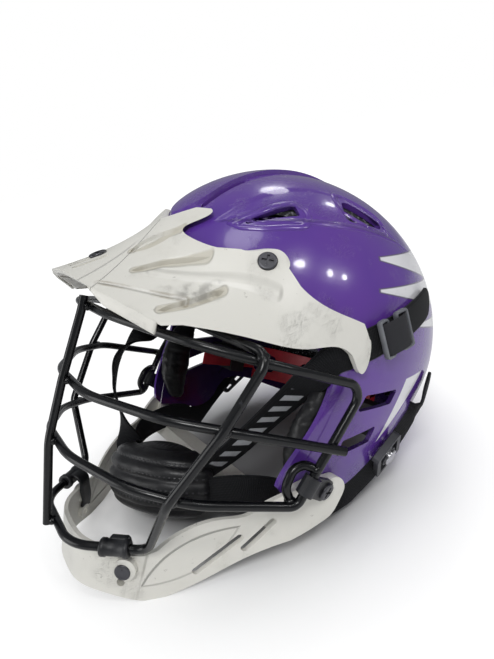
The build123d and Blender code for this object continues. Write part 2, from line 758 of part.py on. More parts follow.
with BuildPart() as shell:
    add(outer_form)
    add(ridge.part)
    add(wall_form, mode=Mode.SUBTRACT)
    add(face_cutter, mode=Mode.SUBTRACT)
    add(table.part, mode=Mode.SUBTRACT)
    for vent in (front_vent, rear_vent, back_vent):
        for cutter in both_sides(vent_prism(*vent)):
            add(cutter, mode=Mode.SUBTRACT)
    for shares in (upper_ear_vent_shares, lower_ear_vent_shares):
        with BuildSketch(Plane.YZ) as ear_vent:
            with BuildLine():
                Polyline(*side_points(shares), close=True)
            make_face()
            fillet(ear_vent.vertices(), ear_vent_corner)
        extrude(amount=2 * shell_half_width, both=True, mode=Mode.SUBTRACT)
    slot_front = -slot_front_share * shell_front_reach
    slot_rear = -slot_rear_share * shell_front_reach
    slot_middle = (slot_front + slot_rear) / 2
    slot_places = [(side * (ridge_half_width + slot_width / 2), slot_middle) for side in (-1, 1)]
    with BuildSketch(Plane.XY.offset(widest_line)):
        with Locations(*slot_places):
            SlotOverall(slot_rear - slot_front, slot_width, rotation=90)
    extrude(amount=2 * shell_crown_height, mode=Mode.SUBTRACT)
    for room in both_sides(screw_room(visor_screw_plane, visor_screw_length)) + both_sides(nut_room.part):
        add(room, mode=Mode.SUBTRACT)
    for room in both_sides(screw_room(side_ear_plane, clip_screw_length)):
        add(room, mode=Mode.SUBTRACT)
    for hole in stud_holes:
        add(hole, mode=Mode.SUBTRACT)

# Chin cup's form, which the straps run up to
cup_place = Location(cup_centre, (0, 0, 0)) * Location((0, 0, 0), (0, cup_roll, cup_turn))


def cup_form(inset):
    """The chin cup's rounded outer form, drawn in by inset."""
    reach = cup_reach - inset
    with BuildPart() as form:
        Sphere(reach)
        scale(by=((cup_half_width - inset) / reach, 1, (cup_half_height - inset) / reach))
        with BuildSketch(Plane.XZ.offset(-cup_opening)):
            Rectangle(4 * cup_half_width, 4 * cup_half_width)
        extrude(amount=-2 * cup_reach, mode=Mode.SUBTRACT)
    return form.part


# Visor
visor_outline = side_prism(
    [side_points(visor_upper_shares), side_points(visor_screw_lobe_shares), side_points(visor_tail_shares),
     side_points(visor_lobe_shares), side_points(visor_lower_shares), side_points(visor_brim_shares)], [])
visor_inner = visor_form(visor_wall, overrun)

with BuildPart() as brim_grooves:
    groove_places = [((step - (brim_groove_count - 1) / 2) * brim_groove_pitch, brim_groove_place)
                     for step in range(brim_groove_count)]
    with BuildSketch(Plane.XY.offset(visor_section_bottom)):
        with Locations(*groove_places):
            SlotOverall(brim_groove_reach, brim_groove_width, rotation=90)
    extrude(amount=visor_section_top - visor_section_bottom)
    add(visor_form(brim_groove_depth), mode=Mode.SUBTRACT)

with BuildPart() as scoops:
    for upper, lower in (horn_scoop, middle_scoop, brim_scoop):
        with BuildSketch(Plane.XY.offset(visor_section_bottom)):
            with BuildLine():
                Spline(*[(x * shell_half_width, y * shell_front_reach) for x, y in upper])
                Spline(*[(x * shell_half_width, y * shell_front_reach) for x, y in lower])
            make_face()
        extrude(amount=visor_section_top - visor_section_bottom)
    add(visor_form(scoop_depth), mode=Mode.SUBTRACT)

with BuildPart() as strap_room:
    add(ridge_form)
    add(strap_prism(upper_strap_start, upper_strap_end, strap_relief), mode=Mode.INTERSECT)

with BuildPart() as visor:
    add(visor_form(0))
    add(visor_inner, mode=Mode.SUBTRACT)
    add(visor_outline, mode=Mode.INTERSECT)
    add(clear_form, mode=Mode.SUBTRACT)
    with BuildSketch(Plane.XZ):
        with BuildLine():
            notch_slope = crown_notch_rise / crown_notch_half_width
            notch_top = crown_notch_height + notch_slope * shell_half_width
            Polyline((0, crown_notch_height), (shell_half_width, notch_top), (-shell_half_width, notch_top),
                     close=True)
        make_face()
    extrude(amount=2 * shell_front_reach, mode=Mode.SUBTRACT)
    for groove in [brim_grooves.part] + both_sides(scoops.part):
        add(groove, mode=Mode.SUBTRACT)
    for room in both_sides(screw_room(visor_screw_plane, visor_screw_length)):
        add(room, mode=Mode.SUBTRACT)
    add(screw_room(front_screw_plane, front_screw_length), mode=Mode.SUBTRACT)
    for room in both_sides(strap_room.part):
        add(room, mode=Mode.SUBTRACT)

# Chin guard
chin_scale = (chin_reach, 0, chin_drop)
chin_outline = side_prism(
    [side_points(chin_top_shares, *chin_scale), side_points(chin_rise_shares, *chin_scale),
     side_points(chin_tab_shares, *chin_scale), side_points(chin_bottom_shares, *chin_scale)], [])
chin_hole_azimuth = degrees(atan2(chin_hole_place[0], chin_hole_place[1]))
chin_hole_plane = surface_plane(chin_reach_at, chin_hole_azimuth, chin_hole_height)

with BuildPart() as chin_hollow:
    add(chin_form(chin_wall, -chin_tab_start))
    with BuildSketch(Plane.XZ.offset(-chin_tab_start)):
        Rectangle(4 * shell_half_width, 4 * chin_drop)
    extrude(amount=-2 * chin_reach, mode=Mode.SUBTRACT)

chin_bosses = []
for place in (side_ear_plane, chin_ear_plane):
    with BuildPart(place.offset(-ear_thickness)) as boss:
        Cylinder(boss_radius, boss_root, align=hanging)
        if place is side_ear_plane:
            add(clear_form, mode=Mode.SUBTRACT)
    chin_bosses += both_sides(boss.part)
with BuildPart(chin_hole_plane) as hole_boss:
    Cylinder(chin_hole_boss_radius, chin_hole_length, align=hanging)
chin_bosses += both_sides(hole_boss.part)
with BuildPart(chin_hole_plane) as hole:
    Cylinder(chin_hole_radius, 4 * chin_hole_length)

with BuildPart() as chin_guard:
    add(chin_form(0, -chin_tab_start))
    add(chin_hollow.part, mode=Mode.SUBTRACT)
    add(clear_form, mode=Mode.SUBTRACT)
    add(chin_outline, mode=Mode.INTERSECT)
    for boss in chin_bosses:
        add(boss)
    for hole in both_sides(hole.part):
        add(hole, mode=Mode.SUBTRACT)
    for start, end in zip(chin_slit_starts, chin_slit_ends):
        low, high = (Vector(*point) for point in side_points([start, end], *chin_scale))
        travel = high - low
        angle = degrees(atan2(travel.Y, travel.X))
        with BuildSketch(Plane.YZ):
            with Locations((low + high) / 2):
                SlotCenterToCenter(travel.length, chin_slit_width, rotation=angle)
        extrude(amount=2 * shell_half_width, both=True, mode=Mode.SUBTRACT)
    add(table.part, mode=Mode.SUBTRACT)
    for place in (side_ear_plane, chin_ear_plane):
        for room in both_sides(screw_room(place.offset(-ear_thickness), clip_screw_length)):
            add(room, mode=Mode.SUBTRACT)

# Straps: each lies on the shell outside and runs free to the chin cup inside
upper_band = strap_prism(upper_strap_start, upper_strap_end)
lower_band = strap_prism(lower_strap_start, lower_strap_end)


def laid_strap(outline, stud_place):
    """Part of a strap that lies on the near side of the shell, with an eyelet for the stud."""
    with BuildPart() as band:
        add(strap_form)
        add(outline, mode=Mode.INTERSECT)
        add(clear_form, mode=Mode.SUBTRACT)
        with BuildSketch(stud_place):
            Circle(strap_hole_radius)
        extrude(amount=boss_root, mode=Mode.SUBTRACT)
    return band.part


def whole_strap(laid, free):
    """The laid and the free parts of a strap as one."""
    with BuildPart() as strap:
        add(laid)
        add(free)
        add(cup_form(0).moved(cup_place), mode=Mode.SUBTRACT)
        add(chin_guard.part, mode=Mode.SUBTRACT)
    return strap.part


upper_laid = laid_strap(upper_band, upper_stud_plane)
lower_laid = laid_strap(lower_band, lower_stud_plane)
far_upper_laid = mirror(upper_laid, about=Plane.YZ)
far_lower_laid = mirror(lower_laid, about=Plane.YZ)
upper_strap_left = whole_strap(upper_laid, webbing(near_upper_path, upper_across))
upper_strap_right = whole_strap(far_upper_laid, webbing(far_upper_path, upper_across))
lower_strap_left = whole_strap(lower_laid, webbing(near_lower_path, lower_across))
lower_strap_right = whole_strap(far_lower_laid, webbing(far_lower_path, lower_across))

# Face mask
perimeter_wire = whole_rod(perimeter_points, perimeter_bends)
nose_bar = whole_rod(nose_points, nose_bends, [perimeter_wire])
frame_wire = whole_rod(frame_points, frame_bends, [perimeter_wire, nose_bar])
with BuildPart() as centre_bar:
    add(bent_rod(centre_points, centre_bends))
    for other in (perimeter_wire, nose_bar, frame_wire):
        add(other, mode=Mode.SUBTRACT)
with BuildPart() as jaw_loop:
    add(bent_rod(loop_points, loop_bends))
    add(perimeter_wire, mode=Mode.SUBTRACT)

# Clips that hold the mask
with BuildPart() as front_clip:
    with BuildSketch(Plane.YZ):
        with Locations((front_clip_place[1], front_clip_place[2])):
            Circle(rod_diameter / 2 + clip_wall)
        with Locations((front_clip_place[1] - front_clip_lean, front_clip_place[2] + front_clip_height)):
            Rectangle(front_clip_depth, front_clip_height)
        make_hull()
    extrude(amount=front_clip_width / 2, both=True)
    add(visor_inner, mode=Mode.INTERSECT)
    add(frame_wire, mode=Mode.SUBTRACT)
    add(screw_room(front_screw_plane, front_screw_length), mode=Mode.SUBTRACT)

pieces = {"shell": shell.part, "visor": visor.part, "chin_guard": chin_guard.part}
pieces["mask_frame_wire"] = frame_wire
pieces["mask_perimeter_wire"] = perimeter_wire
pieces["mask_nose_bar"] = nose_bar
pieces["mask_centre_bar"] = centre_bar.part
pieces["visor_front_clip"] = front_clip.part
pieces["visor_front_screw"] = screw(front_screw_plane, front_screw_length)

# Liner
with BuildPart() as liner_layer:
    add(liner_outer_form)
    add(liner_inner_form, mode=Mode.SUBTRACT)
with BuildPart() as comfort_layer:
    add(liner_inner_form)
    add(comfort_form, mode=Mode.SUBTRACT)
liner_edge = face_cutter.moved(Location((0, liner_edge_margin, liner_edge_margin)))


def layer_pad(layer, region, cutters=()):
    """Part of a layer that lies in a region."""
    with BuildPart() as pad:
        add(layer)
        add(region, mode=Mode.INTERSECT)
        for cutter in cutters:
            add(cutter, mode=Mode.SUBTRACT)
    return pad.part


liner_top = liner_crown_level - liner_split / 2
split = liner_split_angle
full_top = 2 * shell_crown_height
with BuildPart() as crown_region:
    with BuildSketch(Plane.XY.offset(liner_crown_level + liner_split / 2)):
        Circle(2 * shell_rear_reach)
    extrude(amount=full_top)
with BuildPart() as crown_pad_region:
    with BuildSketch(Plane.XY.offset(crown_pad_bottom)):
        Circle(2 * shell_rear_reach)
    extrude(amount=full_top)
nut_rooms = both_sides(nut_room.part)
pieces["liner_crown"] = layer_pad(liner_layer.part, crown_region.part)
front_region = wedge(-liner_front_angle + split, liner_front_angle - split, liner_front_bottom, liner_top)
rear_region = wedge(liner_side_angle + split, 360 - liner_side_angle - split, liner_rear_bottom, liner_top)
side_region = wedge(liner_front_angle + split, liner_side_angle - split, liner_side_bottom, liner_top)
brow_region = wedge(-brow_pad_angle, brow_pad_angle, brow_pad_bottom, brow_pad_top)
nape_region = wedge(nape_pad_angle, 360 - nape_pad_angle, nape_pad_bottom, nape_pad_top)
side_pad_region = wedge(side_pad_start, side_pad_end, side_pad_bottom, side_pad_top)
pieces["liner_front"] = layer_pad(liner_layer.part, front_region, [liner_edge])
pieces["liner_rear"] = layer_pad(liner_layer.part, rear_region)
side_liner = layer_pad(liner_layer.part, side_region, [liner_edge] + nut_rooms)
brow_pad = layer_pad(comfort_layer.part, brow_region)
nape_pad = layer_pad(comfort_layer.part, nape_region)
side_pad = layer_pad(comfort_layer.part, side_pad_region, [liner_edge])
crown_pad = layer_pad(comfort_layer.part, crown_pad_region.part)
pieces["brow_pad"] = brow_pad
pieces["nape_pad"] = nape_pad
pieces["crown_pad"] = crown_pad

# Jaw pads
with BuildPart() as jaw_region:
    with BuildSketch(Plane.YZ) as jaw_outline:
        with BuildLine():
            Polyline(*side_points(jaw_pad_shares), close=True)
        make_face()
        fillet(jaw_outline.vertices(), jaw_pad_corner)
    extrude(amount=2 * shell_half_width)
jaw_pad = layer_pad(liner_layer.part, jaw_region.part)

# Retention cradle and its brackets
with BuildPart() as cradle:
    for inset, mode in ((0, Mode.ADD), (cradle_wall, Mode.SUBTRACT)):
        half_width = cradle_half_width - inset
        with BuildSketch(Plane.XY.offset(cradle_level - cradle_height / 2)):
            with BuildLine():
                rear = EllipticalCenterArc((0, cradle_bend_start), half_width, cradle_bend_reach - inset,
                                           start_angle=0, arc_size=180)
                end = cradle_front - inset
                Polyline(rear @ 1, (-half_width, end), (half_width, end), rear @ 0)
            make_face()
        extrude(amount=cradle_height, mode=mode)
    trim = (cradle_height - cradle_arm_height) / 2
    for level in (cradle_level - cradle_height / 2, cradle_level + cradle_arm_height / 2):
        with BuildSketch(Plane.XY.offset(level)):
            with Locations((0, cradle_arm_end - 2 * cradle_half_width)):
                Rectangle(4 * cradle_half_width, 4 * cradle_half_width)
        extrude(amount=trim, mode=Mode.SUBTRACT)
    for angle in cradle_window_angles:
        plane = Plane(origin=(0, 0, cradle_level), x_dir=(cos(radians(angle)), sin(radians(angle)), 0),
                      z_dir=(sin(radians(angle)), -cos(radians(angle)), 0))
        with BuildSketch(plane):
            RectangleRounded(cradle_window_length, cradle_window_height, cradle_window_corner)
        extrude(amount=2 * cradle_half_width, mode=Mode.SUBTRACT)

with BuildPart() as bracket:
    slot_inner = cradle_half_width - cradle_wall - cradle_clearance
    with BuildSketch(Plane.XZ.offset(-bracket_front)):
        with Locations((slot_inner - bracket_wall, cradle_level)):
            Rectangle(2 * shell_half_width, bracket_height, align=(Align.MIN, Align.CENTER))
        with Locations((slot_inner, cradle_level)):
            Rectangle(cradle_wall + 2 * cradle_clearance, cradle_arm_height + 2 * cradle_clearance,
                      align=(Align.MIN, Align.CENTER), mode=Mode.SUBTRACT)
    extrude(amount=-bracket_length)
    add(wall_form, mode=Mode.INTERSECT)

# Chin cup
with BuildPart() as cup:
    add(cup_form(0))
    add(cup_form(cup_wall), mode=Mode.SUBTRACT)
with BuildPart() as cup_pad:
    add(cup_form(cup_wall))
    add(cup_form(cup_wall + cup_pad_thickness), mode=Mode.SUBTRACT)
pieces["chin_cup"] = cup.part.moved(cup_place)
pieces["chin_cup_pad"] = cup_pad.part.moved(cup_place)
pieces["retention_cradle"] = cradle.part
pieces["upper_strap_left"] = upper_strap_left
pieces["upper_strap_right"] = upper_strap_right
pieces["lower_strap_left"] = lower_strap_left
pieces["lower_strap_right"] = lower_strap_right

# Pieces that come in pairs
pairs = {
    "mask_jaw_loop": jaw_loop.part,
    "side_clip": rod_clip(side_clip_plane, side_screw_place, [perimeter_wire, chin_guard.part]),
    "chin_clip": rod_clip(chin_clip_plane, chin_screw_place, [frame_wire, chin_guard.part]),
    "side_screw": screw(side_ear_plane, clip_screw_length),
    "chin_screw": screw(chin_ear_plane, clip_screw_length),
    "visor_screw": screw(visor_screw_plane, visor_screw_length),
    "liner_side": side_liner,
    "side_pad": side_pad,
    "jaw_pad": jaw_pad,
    "cradle_bracket": bracket.part,
    "upper_buckle": buckle(upper_stud_plane),
    "lower_buckle": buckle(lower_stud_plane),
    "upper_stud": stud(upper_stud_plane),
    "lower_stud": stud(lower_stud_plane)}
with BuildPart(visor_screw_plane.offset(-nut_depth)) as nut:
    Cylinder(nut_radius, nut_height, align=hanging)
    Cylinder(screw_shank_radius + screw_hole_clearance, 2 * nut_height, align=hanging, mode=Mode.SUBTRACT)
pairs["visor_nut"] = nut.part
for name, piece in pairs.items():
    left, right = both_sides(piece)
    pieces[name + "_left"] = left
    pieces[name + "_right"] = right

# Lay the helmet back on the table, with the origin under the middle of its box
lean = Rot(X=-degrees(tilt))
boxes = [piece.moved(lean).bounding_box() for piece in pieces.values()]
middle = (min(box.min.Y for box in boxes) + max(box.max.Y for box in boxes)) / 2
floor = min(box.min.Z for box in boxes)
rest = Pos(0, -middle, -floor) * lean

# Each piece is one solid: crumbs where two surfaces nearly meet are left out
os.makedirs("parts", exist_ok=True)
for name, piece in pieces.items():
    placed = piece.solids().sort_by(SortBy.VOLUME)[-1].moved(rest)
    placed.label = name
    export_step(placed, f"parts/{name}.step")
print(f"{len(pieces)} pieces, laid back {degrees(tilt):.3f} degrees, moved {-middle:.3f} and {-floor:.3f}")
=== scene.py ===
"""Dresses the lacrosse helmet's frame with its finishes, webbing, padding and welds.

Places are written in the wearer's frame, in millimetres, and laid back as the helmet rests: X to the
wearer's left, Y to the back, Z up the head with the mask bars level.
"""

import math
from functools import reduce

import bmesh
import bpy
from mathutils import Matrix, Quaternion, Vector, noise
from mathutils.bvhtree import BVHTree


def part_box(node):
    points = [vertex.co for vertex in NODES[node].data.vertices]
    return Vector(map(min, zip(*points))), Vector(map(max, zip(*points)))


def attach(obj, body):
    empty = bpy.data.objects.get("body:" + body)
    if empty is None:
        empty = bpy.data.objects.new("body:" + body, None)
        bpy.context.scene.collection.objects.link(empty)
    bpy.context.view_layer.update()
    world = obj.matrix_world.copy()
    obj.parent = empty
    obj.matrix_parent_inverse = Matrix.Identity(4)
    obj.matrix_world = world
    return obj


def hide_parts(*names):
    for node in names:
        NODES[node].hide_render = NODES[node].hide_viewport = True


bl_info = {
    "name": "Lacrosse helmet dressing",
    "version": (1, 0, 0),
    "blender": (4, 5, 0),
    "location": "3D View > Sidebar > Helmet",
    "description": "Finishes, webbing, padding and welds of a lacrosse helmet",
    "category": "Object",
}

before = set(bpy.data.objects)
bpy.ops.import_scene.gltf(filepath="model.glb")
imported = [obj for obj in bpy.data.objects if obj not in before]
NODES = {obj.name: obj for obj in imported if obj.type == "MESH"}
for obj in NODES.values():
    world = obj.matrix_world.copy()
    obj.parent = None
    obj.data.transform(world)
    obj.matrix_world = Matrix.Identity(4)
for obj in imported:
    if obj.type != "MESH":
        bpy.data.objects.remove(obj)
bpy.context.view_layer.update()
ROOT = "helmet"
MM = 0.001
# Points nearer than this are one point, in metres
MERGE = 0.000002
# The wearer's left and right: sign of X and word in the names
SIDES = ((1, "left"), (-1, "right"))

# How the wearer's frame lies in the row frame
TILT = math.radians(27.949)
ROW_Y = 53.1
ROW_Z = 130.65

# The photograph's camera, in the wearer's frame
CAMERA_PLACE = (308.4, -239.4, 0.0)
CAMERA_RIGHT = (0.548, 0.8156, 0.1883)
CAMERA_DOWN = (0.181, 0.1041, -0.9780)
CAMERA_SENSOR = 36.0
CAMERA_LENS = 27.04
CAMERA_NEAREST = 0.01


def turned(vector):
    """A direction of the wearer's frame, in the row frame."""
    x, y, z = vector
    return Vector((x, y * math.cos(TILT) + z * math.sin(TILT), z * math.cos(TILT) - y * math.sin(TILT)))


def worn(place):
    """A place of the wearer's frame in millimetres, in the row frame in metres."""
    return (turned(place) + Vector((0, ROW_Y, ROW_Z))) * MM


def mirrored(place, side):
    """A place or direction on the wearer's left, or its mirror image on the right."""
    return Vector((place[0] * side, place[1], place[2]))


class Signal:
    """A socket's number or vector, used in expressions that add Math nodes."""

    def __init__(self, paint, socket):
        self.paint = paint
        self.socket = socket

    def math(self, operation, *others):
        inputs = dict(enumerate((self,) + others))
        return self.paint.node("ShaderNodeMath", {"operation": operation}, inputs)

    def __add__(self, other):
        return self.math("ADD", other)

    def __radd__(self, other):
        return self.math("ADD", other)

    def __sub__(self, other):
        return self.math("SUBTRACT", other)

    def __rsub__(self, other):
        return self.math("MULTIPLY", -1.0) + other

    def __mul__(self, other):
        return self.math("MULTIPLY", other)

    def __rmul__(self, other):
        return self.math("MULTIPLY", other)

    def __truediv__(self, other):
        return self.math("DIVIDE", other)

    def __pow__(self, other):
        return self.math("POWER", other)

    def __abs__(self):
        return self.math("ABSOLUTE")

    def square(self):
        return self.math("MULTIPLY", self)

    def sin(self):
        return self.math("SINE")

    def least(self, other):
        return self.math("MINIMUM", other)

    def most(self, other):
        return self.math("MAXIMUM", other)

    def rise(self, low, high):
        """0 below low, 1 above high, smooth between."""
        inputs = {"Value": self, "From Min": low, "From Max": high}
        return self.paint.node("ShaderNodeMapRange", {"interpolation_type": "SMOOTHSTEP"}, inputs)

    def band(self, low, high, soft):
        """1 between low and high, with soft edges."""
        return self.rise(low - soft, low + soft) * (1 - self.rise(high - soft, high + soft))


class Paint:
    """One material, its shader written as expressions on signals."""

    def __init__(self, name, **constants):
        self.material = bpy.data.materials.new(name)
        self.material.use_nodes = True
        self.tree = self.material.node_tree
        self.shader = self.tree.nodes["Principled BSDF"]
        for key, value in constants.items():
            self.shader.inputs[key.replace("_", " ").title().replace("Ior", "IOR")].default_value = value
        self.place = self.node("ShaderNodeTexCoord", output="Object")

    def node(self, kind, settings=None, inputs=None, output=0):
        """Adds a node: its settings first, then the values or links of its sockets."""
        made = self.tree.nodes.new(kind)
        for key, value in (settings or {}).items():
            setattr(made, key, value)
        for key, value in (inputs or {}).items():
            self.feed(made.inputs[key], value)
        return Signal(self, made.outputs[output])

    def feed(self, socket, value):
        if isinstance(value, Signal):
            self.tree.links.new(value.socket, socket)
        else:
            socket.default_value = value

    def set(self, name, value):
        self.feed(self.shader.inputs[name], value)

    def axis(self, name, source=None):
        """One coordinate, X, Y or Z, of a vector signal."""
        return self.node("ShaderNodeSeparateXYZ", inputs={0: source or self.place}, output=name)

    def worn(self):
        """The wearer's frame coordinates, in millimetres, as three signals."""
        x = self.axis("X") / MM
        y = self.axis("Y") / MM - ROW_Y
        z = self.axis("Z") / MM - ROW_Z
        return x, y * math.cos(TILT) - z * math.sin(TILT), y * math.sin(TILT) + z * math.cos(TILT)

    def noise(self, scale, detail=4.0, roughness=0.5, source=None, distortion=0.0):
        inputs = {"Vector": source or self.place, "Scale": scale, "Detail": detail, "Roughness": roughness,
                  "Distortion": distortion}
        return self.node("ShaderNodeTexNoise", inputs=inputs)

    def cells(self, scale, output="Distance"):
        inputs = {"Vector": self.place, "Scale": scale}
        return self.node("ShaderNodeTexVoronoi", inputs=inputs, output=output)

    def stretched(self, scale, rotation):
        """The place, turned and then stretched, for streaks."""
        inputs = {"Vector": self.place, "Rotation": rotation, "Scale": scale}
        return self.node("ShaderNodeMapping", {"vector_type": "TEXTURE"}, inputs)

    def mix(self, factor, first, second):
        """A colour between two colours."""
        made = self.tree.nodes.new("ShaderNodeMix")
        made.data_type = "RGBA"
        for socket, value in zip((0, 6, 7), (factor, first, second)):
            self.feed(made.inputs[socket], value)
        return Signal(self, made.outputs[2])

    def near(self, across, along, start, end, half=0.0, growth=0.0):
        """Distance to a line between two places of a view, less its half width, which may grow along it."""
        run = Vector(end) - Vector(start)
        share = ((across - start[0]) * (run.x / run.length_squared)
                 + (along - start[1]) * (run.y / run.length_squared)).most(0).least(1)
        gap = (across - start[0] - share * run.x).square() + (along - start[1] - share * run.y).square()
        return gap**0.5 - half - share * growth

    def bump(self, height, distance=MM, strength=1.0):
        inputs = {"Height": height, "Distance": distance, "Strength": strength}
        self.set("Normal", self.node("ShaderNodeBump", inputs=inputs, output="Normal"))


def rgb(red, green, blue):
    """A colour written as 0-255 display values."""
    def linear(value):
        share = value / 255
        return share / 12.92 if share <= 0.04045 else ((share + 0.055) / 1.055) ** 2.4
    return (linear(red), linear(green), linear(blue), 1.0)


SCRATCH_WIDTH = 0.0075


def scratches(paint, scale):
    """Fine straight scratches in several directions: 1 in a scratch."""
    found = []
    for step, turn in enumerate((0.3, 1.2, 2.2)):
        streaks = paint.stretched((0.02 + 0.01 * step, 1.0, 1.0), (turn, 0.7 * turn, 1.7 * turn))
        line = paint.noise(scale * (1 + 0.3 * step), 2.0, 0.4, streaks)
        found.append(1 - abs(line - 0.5).rise(0.0, SCRATCH_WIDTH))
    return reduce(Signal.most, found) * paint.noise(40, 3).rise(0.52, 0.66)


def shell_paint(settings):
    """Glossy purple shell: clear coat, scratches, plain white flashes, a plain rear sticker and painted
    shade on its inner faces.
    """
    paint = Paint("shell_gloss", roughness=0.22, coat_roughness=0.08)
    x, y, z = paint.worn()
    side = abs(x)
    cloud = paint.noise(12, 3)
    base = paint.mix(cloud.rise(0.35, 0.7), tuple(settings.shell_colour) + (1.0,), rgb(84, 48, 146))
    marks = scratches(paint, 55)
    base = paint.mix(marks * 0.35, base, rgb(176, 160, 200))
    scuff = paint.noise(70, 5, 0.6).rise(0.62, 0.72) * paint.noise(9, 2).rise(0.5, 0.65)
    base = paint.mix(scuff * 0.18, base, rgb(150, 128, 182))
    outside = side.rise(60, 66)
    # a tapered flash behind the upper buckle, its point down
    along = (z + 84) / 43
    left = y - (17 + 11 * along)
    width = 0.5 + 18 * along
    flash = left.rise(-0.5, 0.5) * (1 - (left - width).rise(-0.5, 0.5)) * along.rise(-0.02, 0.03)
    flash = flash * (1 - (z + 40.5 - 0.25 * (y - 28)).rise(-0.5, 0.5)) * outside
    # three plain tapered stripes with a thin border on the rear side
    stripes = []
    borders = []
    for low, tall, start in ((31, 17, -4), (12, 14, -8), (-9, 9, 26)):
        run = (y - start) / 76
        gap = abs(z - low - 0.12 * (y - 2)) - tall * 0.5 * (0.1 + 1.2 * run)
        stripes.append((1 - gap.rise(-0.4, 0.4)) * run.band(0.0, 1.0, 0.008))
        borders.append((1 - gap.rise(0.5, 1.1)) * run.band(-0.02, 1.02, 0.008))
    stripe = reduce(Signal.most, stripes)
    border = reduce(Signal.most, borders)
    white = flash.most(stripe * side.rise(20, 24) * (1 - flash))
    worn_white = paint.mix(paint.noise(90, 4).rise(0.6, 0.8) * 0.5, rgb(232, 231, 234), rgb(170, 160, 190))
    base = paint.mix(border * side.rise(20, 24) * 0.8, base, rgb(92, 84, 100))
    base = paint.mix(white * (1 - marks * 0.4), base, worn_white)
    sticker = y.band(88, 112, 0.4) * z.band(-24, 8, 0.4)
    base = paint.mix(sticker * 0.9, base, rgb(126, 54, 44))
    # painted shade: the inner faces are darkened, as they lie in shade
    facing = paint.node("ShaderNodeNewGeometry", output="Normal")
    inside_shade = 0
    for letter, middle in (("X", 0), ("Y", ROW_Y * MM), ("Z", ROW_Z * MM)):
        inside_shade = inside_shade - paint.axis(letter, facing) * (paint.axis(letter) - middle)
    base = paint.mix(inside_shade.rise(0.01, 0.03) * 0.75, base, rgb(20, 12, 40))
    paint.set("Base Color", base)
    paint.set("Roughness", 0.2 + 0.25 * marks + 0.25 * scuff + 0.1 * cloud)
    paint.set("Coat Weight", 0.6 - 0.4 * scuff)
    # the vent panel sunk in each side, the rims round its vents, and the flange along the front edge
    panel = (z - 46.5 + 0.0018 * (y + 5).square()).rise(-0.9, 1.4)
    panel = panel * (1 - (z - 67 + 0.0085 * (y + 28).square()).rise(-2.2, 1.2)) * side.rise(20, 26)
    rims = 1 - paint.near(y, z, (-79, 35.5), (-54, 45.5), 2.4, 4.0).rise(1.2, 3.0)
    rims = rims.most(1 - paint.near(y, z, (-14, 59.0), (7, 53.6), 7.0, -3.0).rise(1.0, 3.0)) * panel
    flange = (y + 26 - 0.18 * (z + 40)).rise(-0.7, 0.9) * (1 - z.rise(-44, -36)) * side.rise(60, 66)
    paint.bump(paint.noise(160, 2) * 0.04 - marks * 0.1 - 1.6 * panel - 1.1 * rims + 1.2 * flange)
    return paint.material


# Middle lines of the visor's scoops in plan, from the middle outwards
VISOR_SCOOPS = (((19, -131), (19.5, -123), (21, -114), (28, -106)),
                ((38, -135), (39.5, -130), (42.5, -120), (51, -108), (57.5, -100.5)),
                ((72, -131), (73, -126), (75.5, -116), (77, -105), (78, -99)))
SCOOP_HALF = 1.9
# The ends of the visor's lower crease, in plan
CREASE_START = (38.9, -155.2)
CREASE_END = (72, -117)


